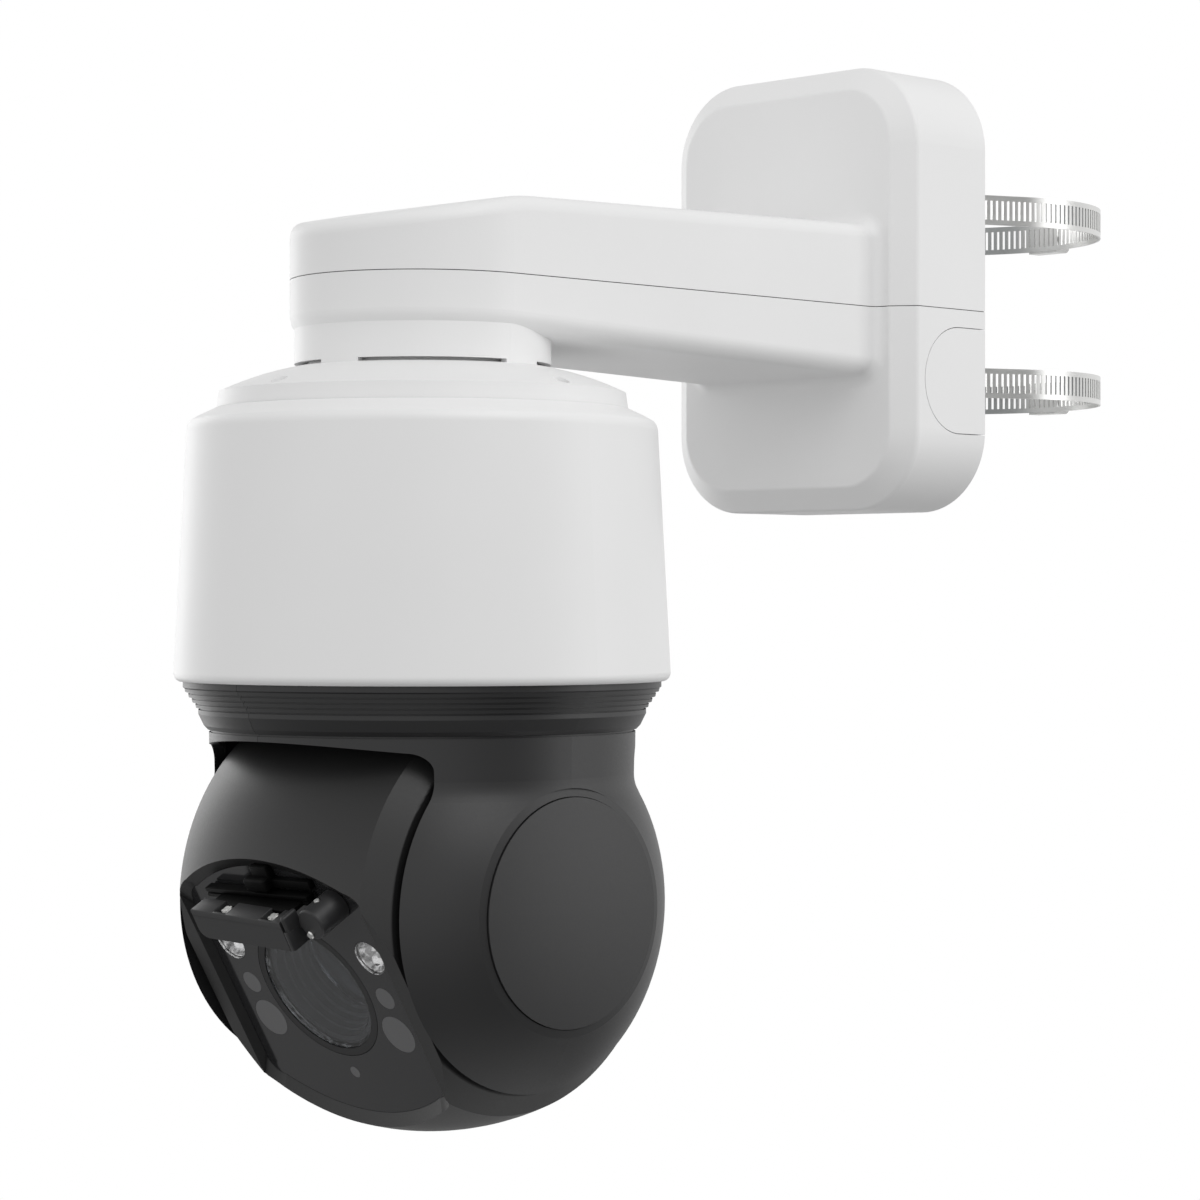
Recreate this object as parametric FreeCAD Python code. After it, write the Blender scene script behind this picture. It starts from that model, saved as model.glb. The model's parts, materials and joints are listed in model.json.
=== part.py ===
"""Outdoor pan-tilt-zoom camera on a wall or pole arm.

Frame: the origin is the centre of the mounting face, +Y points into the wall or pole, +Z is up
and the lens looks towards -Y.  All lengths are millimetres and all angles are degrees.
Every separate piece is built by a function of its own and is written to parts/NAME.step.
"""
import FreeCAD, Part
import math
import os
from FreeCAD import Vector as V

# ---------------------------------------------------------------- driving dimensions
# Bracket arm and back box
REACH = 305.0            # mounting face to pan axis
BOX_W = 160.0            # back box width
BOX_H = 219.6            # back box height
BOX_D = 60.4             # back box depth, mounting face to front face
BOX_CORNER = 40.0        # corner radius of the box outline
BOX_BEVEL_D = 8.4        # depth of the sloping band round the box front
BOX_BEVEL_W = 11.5       # width of that band
CAST_WALL = 4.0          # wall of the castings
ARM_HALF_W = 60.0        # half width of the arm, and radius of its nose
ARM_TOP = 25.0           # height of the arm's top at the pan axis
ARM_UNDER = -35.8        # height of the arm's underside at the pan axis
ARM_TOP_RISE = 5.5       # how far the top has risen where it meets the box
ARM_UNDER_DROP = 8.1     # how far the underside has dropped where it meets the box
ARM_NOSE_DROP = 13.5     # fall of the top from its ridge to the tip of the nose
ARM_RIDGE_R = 90.0       # radius that rounds the ridge over the pan axis
ARM_TOP_ROUND = 7.0      # rounding of the top edge
ARM_UNDER_ROUND = 9.0    # rounding of the lower edge
ARM_ROOT_ROUND = 6.0     # fillet where the arm grows out of the box
SEAM_Z = -10.6           # parting plane of the two castings
SEAM_GAP = 0.4           # gasket thickness
GASKET_SET_BACK = 0.8    # gasket behind the visible faces
NECK_R = 58.0            # neck below the arm's nose
NECK_H = 13.9            # length of the neck
SLOT_TURN = 53.0         # direction of the neck's first slot
COVER_SCREW_X = 43.0     # cover screws, from the middle plane
COVER_SCREW_Y = (-112.0, -222.0)
CONDUIT_R = 26.5         # round end of the side conduit covers
CONDUIT_Z = -45.7        # their height
CONDUIT_REACH = 47.0     # how far they reach from the mounting face
PART_GAP = 0.4           # visible gap round a fitted cover

# Wall plate, saddle and bands
PLATE_T = 3.0
PLATE_HOLES_X = 110.0
PLATE_HOLES_Z = 150.0
PLATE_HOLE_R = 4.5
CABLE_HOLE_R = 20.0
POLE_R = 75.0
BAND_Z = 44.0            # bands, above and below the middle
BAND_W = 15.0
BAND_T = 1.0
BAND_SLOT_X = 46.0       # where a band turns inside the box
BAND_SLOT_Y = -8.0

# Fixed camera body, measured down from the bottom of the neck
SKIRT_R = 112.0          # largest radius, at the bottom of the sun shield
SKIRT_TOP_R = SKIRT_R - 6.0
SKIRT_H = 140.8          # neck to the bottom of the shield
SHIELD_WALL = 2.6
CAP_R = SKIRT_TOP_R - 13.1   # side of the top cap
CAP_H = 30.0
CAP_DOME_H = 11.1
CAP_HOLE_R = 3.6         # screw holes in the cap's dome
CAP_HOLE_INSET = 6.5
CAP_HOLE_TURN = 92.0
SHOULDER_H = 18.5        # depth of the shield's top opening
CAN_R = SKIRT_TOP_R - 5.0    # inner housing
CAN_WALL = 3.0
PLATE_DEPTH = 109.3      # depth of the chassis plate's underside
CHASSIS_T = 5.0
FIT = 0.5                # clearance between the shield and what it surrounds

# Rotating yoke and ball
BALL_R = 109.4           # ball radius, centred on the tilt axis
BALL_RISE = 10.4         # how far the ball's top stands above the shield's bottom
COLLAR_R = SKIRT_R - 4.2
RIBS = 4
RIB_PITCH = 2.35
RIB_STEP = 1.6
YOKE_NECK_R = 95.8
YOKE_WALL = 3.8
EAR_IN = 74.3            # inner face of the ears
EAR_WALL = 2.6
OPENING_DROP = 25.0      # shield's bottom to the top edge of the yoke's opening
OPENING_ARCH = 3.8
OPENING_CORNER = 8.0
SIDE_CAP_R = 50.5
SIDE_CAP_X = math.sqrt(BALL_R ** 2 - SIDE_CAP_R ** 2)   # rim of the side caps, on the ball
SIDE_CAP_DOME = 3.0
SIDE_CAP_T = 3.0
SEAT_T = 1.5             # seat behind the side caps
SEAT_RIM = 4.5
EAR_SEAT = SIDE_CAP_X - SIDE_CAP_T - SEAT_T
EAR_CHAMFER_W = 3.5      # chamfer round the side cap's pocket
EAR_CHAMFER_D = 0.8

# Tilting head
REST_TILT = 30.0         # lens below the horizontal at rest
HEAD_R = 103.3           # head radius in its middle plane
HEAD_HALF_W = 70.3
HEAD_BAND_X = 61.0       # where the barrel form turns into the sloping side band
HEAD_BAND_R = 91.0       # head radius there
HEAD_SIDE_R = 81.0       # radius of the flat side
HEAD_EDGE = 1.5          # rounding of the side's edge
HEAD_WALL = 3.0
FRONT_CUT = 76.5         # flat front of the head, from the tilt axis
SIDE_FLARE = 0.32         # slope of the recess's side walls round the window
BROW_FLARE = 1.75        # slope of the brow and the chin
WINDOW_D = 72.0          # outer face of the window, from the tilt axis
WINDOW_T = 3.0
WINDOW_HALF_W = 60.0
WINDOW_HALF_H = 65.0
WINDOW_ARC_R = 105.0
WINDOW_CORNER = 8.0
LEDGE = 3.0
LENS_RING_R = 35.0
LENS_GLASS_R = 31.0
BARREL_R = 30.0
BARREL_BORE = 27.0
UPPER_LAMP = (47.0, 21.0, 8.5)
LOWER_LAMP = (43.0, -19.0, 9.5)
SIDE_LAMP = (45.0, 0.0, 5.5)
LIGHT_SENSOR = (0.0, -44.0, 3.0)
TRUNNION_R = 8.0
BEARING_R = 12.0
BEARING_W = 3.4
GEAR_X = EAR_IN + 1 + BEARING_W + 0.9   # tilt gear, from the middle plane
GEAR_W = 4.0
MOTOR_FACE = GEAR_X + GEAR_W + 0.7      # tilt motor's mounting plate
RUN = 0.05               # running clearance of shafts and bearings
CLEAR = 0.4              # clearance between moving neighbours

# Gears
PAN_MODULE, PAN_TEETH, PAN_PINION_TEETH = 1.5, 68, 16
TILT_MODULE, TILT_TEETH, TILT_PINION_TEETH = 1.2, 40, 15
BACKLASH = 0.25
PRESSURE = math.radians(20.0)

# Wiper, in the head's own frame: X across, D out from the tilt axis, U up the window
WIPER_X, WIPER_U = 42.0, 49.0
HUB_R = 7.25
HUB_END = 89.0
WIPER_SHAFT_R = 3.0
BLADE_X = (-38.0, 31.0)
RAIL_U = (50.5, 55.0)
RAIL_D = (73.5, 78.0)
STOP_X = (-6.0, 12.0)    # parking block on the brow
STOP_D = 79.0
BAR_X = (-30.0, 29.0)
BAR_SCREW_INSET = (18.5, 10.0)
BAR_SCREW_R = 2.8
BAR_U = (39.5, 54.0)
BAR_D = (85.0, 94.6)

# ---------------------------------------------------------------- derived places
CAM_TOP = ARM_UNDER - NECK_H
SKIRT_BOTTOM = CAM_TOP - SKIRT_H
TILT_Z = SKIRT_BOTTOM - (BALL_R - BALL_RISE)
CROWN_UNDER = 3.6        # yoke crown above the ball
CROWN_T = 4.0
TABLE_T = 5.0
GEAR_T = 6.5
CROWN_TOP = SKIRT_BOTTOM + BALL_RISE + CROWN_UNDER + CROWN_T
TABLE_TOP = CROWN_TOP + TABLE_T
CHASSIS_Z = CAM_TOP - PLATE_DEPTH
BEARING_BORE = 25.0
BEARING_OUT = 33.0
BALL_TRACK = 29.0
BEARING_BALL = 2.4
BOARD_H = 52.0           # main board above the chassis plate
FAN_PLACE = (-62.0, 0.0)
YOKE_SCREWS = 6
YOKE_SCREW_R = 84.0
PAN_CENTRES = PAN_MODULE * (PAN_TEETH + PAN_PINION_TEETH) / 2
TILT_CENTRES = TILT_MODULE * (TILT_TEETH + TILT_PINION_TEETH) / 2
X_AXIS, Y_AXIS, Z_AXIS = V(1, 0, 0), V(0, 1, 0), V(0, 0, 1)
BIG = 600.0

PARTS = {}


# ---------------------------------------------------------------- drawing helpers
def point(a, b, plane):
    """A point of a drawing plane: XZ, XY or YZ."""
    return {"XZ": V(a, 0, b), "XY": V(a, b, 0), "YZ": V(0, a, b)}[plane]


def outline(points, plane="XZ"):
    """Closed wire through (a, b) points; (a, b, "via") is a point midway on an arc."""
    edges = []
    ring = points + [points[0]]
    i = 0
    while i < len(ring) - 1:
        start = point(ring[i][0], ring[i][1], plane)
        if len(ring[i + 1]) == 3:
            mid = point(ring[i + 1][0], ring[i + 1][1], plane)
            end = point(ring[i + 2][0], ring[i + 2][1], plane)
            edges.append(Part.Arc(start, mid, end).toShape())
            i += 2
        else:
            end = point(ring[i + 1][0], ring[i + 1][1], plane)
            edges.append(Part.LineSegment(start, end).toShape())
            i += 1
    return Part.Wire(edges)


def turned(points, axis=Z_AXIS):
    """Solid of revolution of an XZ outline about the X or Z axis."""
    return Part.Face(outline(points)).revolve(V(), axis, 360)


def raised(wire, vector):
    return Part.Face(wire).extrude(vector)


def box(low, high):
    size = V(*high) - V(*low)
    return Part.makeBox(size.x, size.y, size.z, V(*low))


def rod(radius, start, end):
    start, end = V(*start), V(*end)
    return Part.makeCylinder(radius, (end - start).Length, start, end - start)


def tube(outer, inner, start, end):
    return rod(outer, start, end).cut(rod(inner, start, end))


def domed_disc(radius, height, sag):
    """Disc on the XY plane whose top is a shallow spherical dome of the given sag."""
    dome_r = (radius ** 2 + sag ** 2) / (2 * sag)
    ball = Part.makeSphere(dome_r, V(0, 0, height + sag - dome_r), Y_AXIS)
    return rod(radius, (0, 0, 0), (0, 0, height + sag)).common(ball)


def both_sides(shape):
    """The shape and its mirror image across the middle plane."""
    return [shape, shape.mirror(V(), X_AXIS)]


def group(shapes):
    return Part.makeCompound([solid for shape in shapes for solid in shape.Solids])


def cut_all(shape, tools):
    for tool in tools:
        shape = shape.cut(tool)
    return shape


def rounded_rect(half_a, half_b, radius, plane="XZ"):
    """Rounded rectangle centred on the drawing plane's origin."""
    k = radius * (1 - math.sqrt(0.5))
    a, b, r = half_a, half_b, radius
    return outline([
        (-a + r, -b), (a - r, -b), (a - k, -b + k, "via"), (a, -b + r),
        (a, b - r), (a - k, b - k, "via"), (a - r, b),
        (-a + r, b), (-a + k, b - k, "via"), (-a, b - r),
        (-a, -b + r), (-a + k, -b + k, "via")], plane)


def gear(module, teeth, thickness, bore, tooth_angle=0.0):
    """Spur gear along +Z with involute flanks; one tooth points along tooth_angle."""
    pitch = module * teeth / 2
    base = pitch * math.cos(PRESSURE)
    tip = pitch + 0.9 * module
    root = pitch - 1.2 * module
    start = max(base, root + 0.1)
    half = (math.pi * module / 2 - BACKLASH) / (2 * pitch)
    involute_pitch = math.tan(PRESSURE) - PRESSURE
    corners = []
    for tooth in range(teeth):
        centre = math.radians(tooth_angle) + 2 * math.pi * tooth / teeth
        flank = []
        for step in range(4):
            r = start + (tip - start) * step / 3
            angle = math.acos(base / r)
            flank.append((r, half + involute_pitch - (math.tan(angle) - angle)))
        side = [(root, flank[0][1])] + flank
        corners += [(r, centre - a) for r, a in side]
        corners += [(r, centre + a) for r, a in reversed(side)]
    points = [(r * math.cos(a), r * math.sin(a)) for r, a in corners]
    solid = raised(outline(points, "XY"), V(0, 0, thickness))
    return solid.cut(rod(bore, (0, 0, -1), (0, 0, thickness + 1)))


def at_camera(shape, z=0.0):
    """Move a shape drawn about the pan axis to its place, z above the mounting centre."""
    return shape.translated(V(0, -REACH, z))


def at_tilt(shape):
    """Move a shape drawn about the tilt axis to its place on the yoke."""
    return shape.translated(V(0, -REACH, TILT_Z))


def at_head(shape):
    """Turn a shape drawn with a level lens down to the rest tilt and move it into place."""
    turned_down = shape.copy()
    turned_down.rotate(V(), X_AXIS, REST_TILT)
    return at_tilt(turned_down)


def hd(x, d, u):
    """Head coordinates (across, out, up the window) as a level-lens point."""
    return (x, -d, u)


def add(name, shape):
    PARTS[name] = shape


# ---------------------------------------------------------------- bracket
def arm_solid(inset):
    """The arm's body, inset from its outer surface."""
    front = -REACH - ARM_HALF_W
    back = -BOX_D / 2
    ridge = -REACH + 5
    run = REACH - BOX_D
    top_slope = ARM_TOP_RISE / run
    under_slope = ARM_UNDER_DROP / run
    nose_slope = ARM_NOSE_DROP / ARM_HALF_W
    ridge_half = ARM_RIDGE_R * (nose_slope + top_slope) / 2
    tip_top = ARM_TOP - ARM_NOSE_DROP
    side = outline([
        (front - 5, ARM_UNDER + inset), (-REACH, ARM_UNDER + inset),
        (back, ARM_UNDER + inset - under_slope * (REACH + back)),
        (back, ARM_TOP - inset + top_slope * (REACH + back)),
        (ridge + ridge_half, ARM_TOP - inset + top_slope * ridge_half),
        (ridge, ARM_TOP - inset - ridge_half * (nose_slope - top_slope) / 4, "via"),
        (ridge - ridge_half, ARM_TOP - inset - nose_slope * ridge_half),
        (front - 5, tip_top - inset)], "YZ")
    half = ARM_HALF_W - inset
    body = raised(side, V(2 * BIG, 0, 0)).translated(V(-BIG, 0, 0))
    plan = outline([
        (-half, back), (-half, -REACH), (0, -REACH - half, "via"), (half, -REACH), (half, back)], "XY")
    body = body.common(raised(plan, V(0, 0, BIG)).translated(V(0, 0, -BIG / 2)))
    top_round = max(ARM_TOP_ROUND - inset, 1.0)
    under_round = max(ARM_UNDER_ROUND - inset, 1.0)
    middle = (ARM_TOP + ARM_UNDER) / 2
    upper, lower = [], []
    for edge in body.Edges:
        bounds = edge.BoundBox
        on_side = bounds.YMax < back + 0.1 and bounds.YLength > 1.0
        level = bounds.ZLength < 0.3 * bounds.YLength + 0.1 and bounds.XMax * bounds.XMin >= -1e-6
        if not on_side:
            continue
        if bounds.ZMin > middle and abs(bounds.Center.x) > 1:
            upper.append(edge)
        elif bounds.ZMax < middle and (level or bounds.XLength > 1.9 * half):
            lower.append(edge)
        elif bounds.ZMin > middle and bounds.XLength > 1.9 * half and bounds.YMin < -REACH - half / 2:
            upper.append(edge)
    body = body.makeFillet(top_round, upper)
    lower_edges = [e for e in body.Edges
                   if e.BoundBox.ZMax < ARM_UNDER + inset + 0.1 and e.BoundBox.YLength > 1.0
                   and e.BoundBox.YMax < back + 0.1
                   and abs(e.BoundBox.Center.x) + e.BoundBox.XLength / 2 > half - 1]
    return body.makeFillet(under_round, lower_edges)


def box_solid(inset, depth_inset):
    """The back box, inset from its outer surface."""
    a, b = BOX_W / 2 - inset, BOX_H / 2 - inset
    shoulder = BOX_D - BOX_BEVEL_D
    edge = rounded_rect(a, b, BOX_CORNER - inset)
    face = rounded_rect(a - BOX_BEVEL_W, b - BOX_BEVEL_W, BOX_CORNER - inset - BOX_BEVEL_W)
    prism = raised(edge, V(0, -shoulder + depth_inset / 2, 0))
    edge_out = edge.translated(V(0, -shoulder + depth_inset / 2, 0))
    face_out = face.translated(V(0, -BOX_D + depth_inset, 0))
    band = Part.makeLoft([edge_out, face_out], True, True)
    return prism.fuse(band).removeSplitter()


def bracket_outside():
    shell = box_solid(0, 0)
    rims = [e for e in shell.Edges if e.BoundBox.YLength < 0.01 and e.BoundBox.YMax < -1.0]
    shell = shell.makeFillet(3.0, rims)
    shell = shell.fuse(arm_solid(0)).removeSplitter()
    roots = [e for e in shell.Edges
             if abs(e.BoundBox.YMin + BOX_D) < 0.02 and e.BoundBox.YLength < 0.02
             and abs(e.BoundBox.Center.x) <= ARM_HALF_W + 0.5 and e.BoundBox.XMax <= ARM_HALF_W + 0.5
             and e.BoundBox.XMin >= -ARM_HALF_W - 0.5
             and e.BoundBox.ZMax < ARM_TOP + ARM_TOP_RISE + 1
             and e.BoundBox.ZMin > ARM_UNDER - ARM_UNDER_DROP - 1]
    shell = shell.makeFillet(ARM_ROOT_ROUND, roots)
    neck = rod(NECK_R, (0, -REACH, CAM_TOP), (0, -REACH, ARM_UNDER + 12))
    return shell.fuse(neck).removeSplitter()


def bracket_inside():
    hollow = box_solid(CAST_WALL, CAST_WALL)
    hollow = hollow.fuse(box((-BOX_W / 2 + 12, -1, -BOX_H / 2 + 40), (BOX_W / 2 - 12, 1, BOX_H / 2 - 40)))
    hollow = hollow.fuse(arm_solid(CAST_WALL))
    bore = rod(NECK_R - CAST_WALL, (0, -REACH, CAM_TOP - 1), (0, -REACH, ARM_UNDER + CAST_WALL + 4))
    return hollow.fuse(bore)


def screw_places():
    return [(side * COVER_SCREW_X, y) for y in COVER_SCREW_Y for side in (-1, 1)]


def arm_top_at(y):
    """Height of the arm's top surface at distance -y from the mounting face."""
    return ARM_TOP + ARM_TOP_RISE * (REACH + y) / (REACH - BOX_D)


def build_bracket():
    outside = bracket_outside()
    inside = bracket_inside()
    bosses = [rod(5.0, (x, y, -BIG / 4), (x, y, BIG / 4)).common(outside) for x, y in screw_places()]
    shell = outside.cut(inside)
    for boss in bosses:
        shell = shell.fuse(boss)
    below = box((-BIG, -BIG, -BIG), (BIG, BIG, SEAM_Z))
    above = box((-BIG, -BIG, SEAM_Z + SEAM_GAP), (BIG, BIG, BIG))
    lower = shell.common(below)
    upper = shell.common(above)
    for x, y in screw_places():
        top = arm_top_at(y)
        upper = upper.cut(rod(2.2, (x, y, SEAM_Z), (x, y, top)))
        upper = upper.cut(rod(4.4, (x, y, top - 3.6), (x, y, top + 5)))
        lower = lower.cut(rod(2.05, (x, y, SEAM_Z - 18), (x, y, SEAM_Z + 1)))
    slot_h = 1.6
    slot = tube(NECK_R + 1, NECK_R - CAST_WALL - 1, (0, -REACH, CAM_TOP), (0, -REACH, CAM_TOP + slot_h))
    for quarter in range(4):
        direction = math.radians(SLOT_TURN + 90 * quarter)
        wedge = raised(outline([
            (0, 0), (120 * math.cos(direction - 0.6), 120 * math.sin(direction - 0.6)),
            (120 * math.cos(direction + 0.6), 120 * math.sin(direction + 0.6))], "XY"), V(0, 0, slot_h + 2))
        lower = lower.cut(slot.common(wedge.translated(V(0, -REACH, CAM_TOP - 1))))
    gasket_band = box((-BIG, -BIG, SEAM_Z), (BIG, BIG, SEAM_Z + SEAM_GAP))
    gasket = outside.common(gasket_band).cut(inside)
    add_conduit_covers(lower)
    add("arm_upper_cover", upper)
    add("seam_gasket", gasket.common(arm_solid(GASKET_SET_BACK).fuse(box_solid(GASKET_SET_BACK, GASKET_SET_BACK))))
    screws = []
    for x, y in screw_places():
        top = arm_top_at(y)
        head = rod(4.0, (x, y, top - 3.6), (x, y, top - 1))
        head = head.cut(rod(1.8, (x, y, top - 2.8), (x, y, top)))
        screws.append(head.fuse(rod(2.0, (x, y, SEAM_Z - 16), (x, y, top - 3.6))))
    add("arm_cover_screws", group(screws))


def conduit_shape(gap):
    """The D-shaped side opening, running out at the mounting face."""
    r = CONDUIT_R + gap
    centre = -CONDUIT_REACH + CONDUIT_R
    wire = outline([(1, CONDUIT_Z - r), (centre, CONDUIT_Z - r), (centre - r, CONDUIT_Z, "via"),
                    (centre, CONDUIT_Z + r), (1, CONDUIT_Z + r)], "YZ")
    return raised(wire, V(BOX_W / 2, 0, 0)).translated(V(BOX_W / 2 - CAST_WALL - 6, 0, 0))


def add_conduit_covers(lower):
    opening = conduit_shape(0)
    cover = lower.common(conduit_shape(-PART_GAP))
    back_lip = conduit_shape(2.5).common(box((BOX_W / 2 - CAST_WALL - 1.6, -BIG, -BIG),
                                             (BOX_W / 2 - CAST_WALL, -PLATE_T - 0.5, BIG)))
    right = cover.fuse(back_lip).removeSplitter()
    for side, plug in zip(("right", "left"), both_sides(right)):
        add("conduit_cover_" + side, plug)
    for tool in both_sides(opening):
        lower = lower.cut(tool)
    for tool in both_sides(back_lip):
        lower = lower.cut(tool)
    add("arm_lower_casting", lower)


def band_wire(radius):
    """Path of a band: round the pole and through the plate, radius is the pole's."""
    slack = radius - POLE_R
    px, py = BAND_SLOT_X + slack * 0.8, BAND_SLOT_Y - slack
    cx, cy = 0.0, POLE_R
    distance = math.hypot(px - cx, py - cy)
    towards = math.atan2(py - cy, px - cx)
    swing = math.acos(radius / distance)
    tx = cx + radius * math.cos(towards + swing)
    ty = cy + radius * math.sin(towards + swing)
    return outline([(-px, py), (px, py), (tx, ty), (0, cy + radius, "via"), (-tx, ty)], "XY")


def build_mounting():
    plate = raised(rounded_rect(BOX_W / 2 - CAST_WALL - 0.5, BOX_H / 2 - CAST_WALL - 0.5,
                                BOX_CORNER - CAST_WALL - 0.5), V(0, -PLATE_T, 0))
    for x in (-PLATE_HOLES_X / 2, PLATE_HOLES_X / 2):
        for z in (-PLATE_HOLES_Z / 2, PLATE_HOLES_Z / 2):
            plate = plate.cut(rod(PLATE_HOLE_R, (x, -PLATE_T - 1, z), (x, 1, z)))
    plate = plate.cut(rod(CABLE_HOLE_R, (0, -PLATE_T - 1, 0), (0, 1, 0)))
    slot_reach = 14.0
    for z in (-BAND_Z, BAND_Z):
        for side in (-1, 1):
            inner = side * (BAND_SLOT_X - 5)
            outer = side * (BAND_SLOT_X + slot_reach)
            plate = plate.cut(box((min(inner, outer), -PLATE_T - 1, z - BAND_W / 2 - 1),
                                  (max(inner, outer), 1, z + BAND_W / 2 + 1)))
    add("wall_plate", plate)

    pole = rod(POLE_R, (0, POLE_R, -BIG / 2), (0, POLE_R, BIG / 2))
    pads = []
    pad_low, pad_high = 14.0, 34.0
    for z in (-BAND_Z + BAND_W, BAND_Z - BAND_W):
        block = box((pad_low, 0, z - 7), (pad_high, 12, z + 7)).cut(pole)
        near = [solid for solid in block.Solids if solid.BoundBox.YMin < 0.5]
        pads += both_sides(near[0])
    add("saddle_pads", group(pads))

    for name, z in (("band_upper", BAND_Z), ("band_lower", -BAND_Z)):
        ring = raised(band_wire(POLE_R + BAND_T), V(0, 0, BAND_W))
        hole = raised(band_wire(POLE_R), V(0, 0, BAND_W + 2)).translated(V(0, 0, -1))
        add(name, ring.cut(hole).translated(V(0, 0, z - BAND_W / 2)))
    housings, worms = [], []
    for z in (-BAND_Z, BAND_Z):
        top = 2 * POLE_R + BAND_T
        case = box((-9, top, z - BAND_W / 2 - 1), (9, top + 12, z + BAND_W / 2 + 1))
        case = case.cut(rod(POLE_R + BAND_T, (0, POLE_R, z - 20), (0, POLE_R, z + 20)))
        saddle = box((-9, top - 2, z - BAND_W / 2 - 1), (9, top + 1, z + BAND_W / 2 + 1))
        saddle = saddle.cut(rod(POLE_R + BAND_T, (0, POLE_R, z - 20), (0, POLE_R, z + 20)))
        case = case.fuse(saddle).removeSplitter()
        edges = [e for e in case.Edges if e.BoundBox.YMin > top + 11.9 and e.BoundBox.XLength > 10]
        case = case.makeFillet(4.0, edges)
        case = case.cut(rod(4.4, (-10, top + 6.5, z), (10, top + 6.5, z)))
        housings.append(case)
        worm = rod(4.3, (-8, top + 6.5, z), (8, top + 6.5, z))
        hexagon = [(5.2 * math.cos(math.radians(60 * i)), 5.2 * math.sin(math.radians(60 * i)))
                   for i in range(6)]
        head = raised(outline(hexagon, "YZ"), V(6, 0, 0)).translated(V(10.5, top + 6.5, z))
        head = head.cut(box((15, top, z - 0.6), (17, top + 13, z + 0.6)))
        worm = worm.fuse(rod(3.0, (7, top + 6.5, z), (11, top + 6.5, z))).fuse(head)
        worms.append(worm)
    add("band_worm_housings", group(housings))
    add("band_worm_screws", group(worms))


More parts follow.
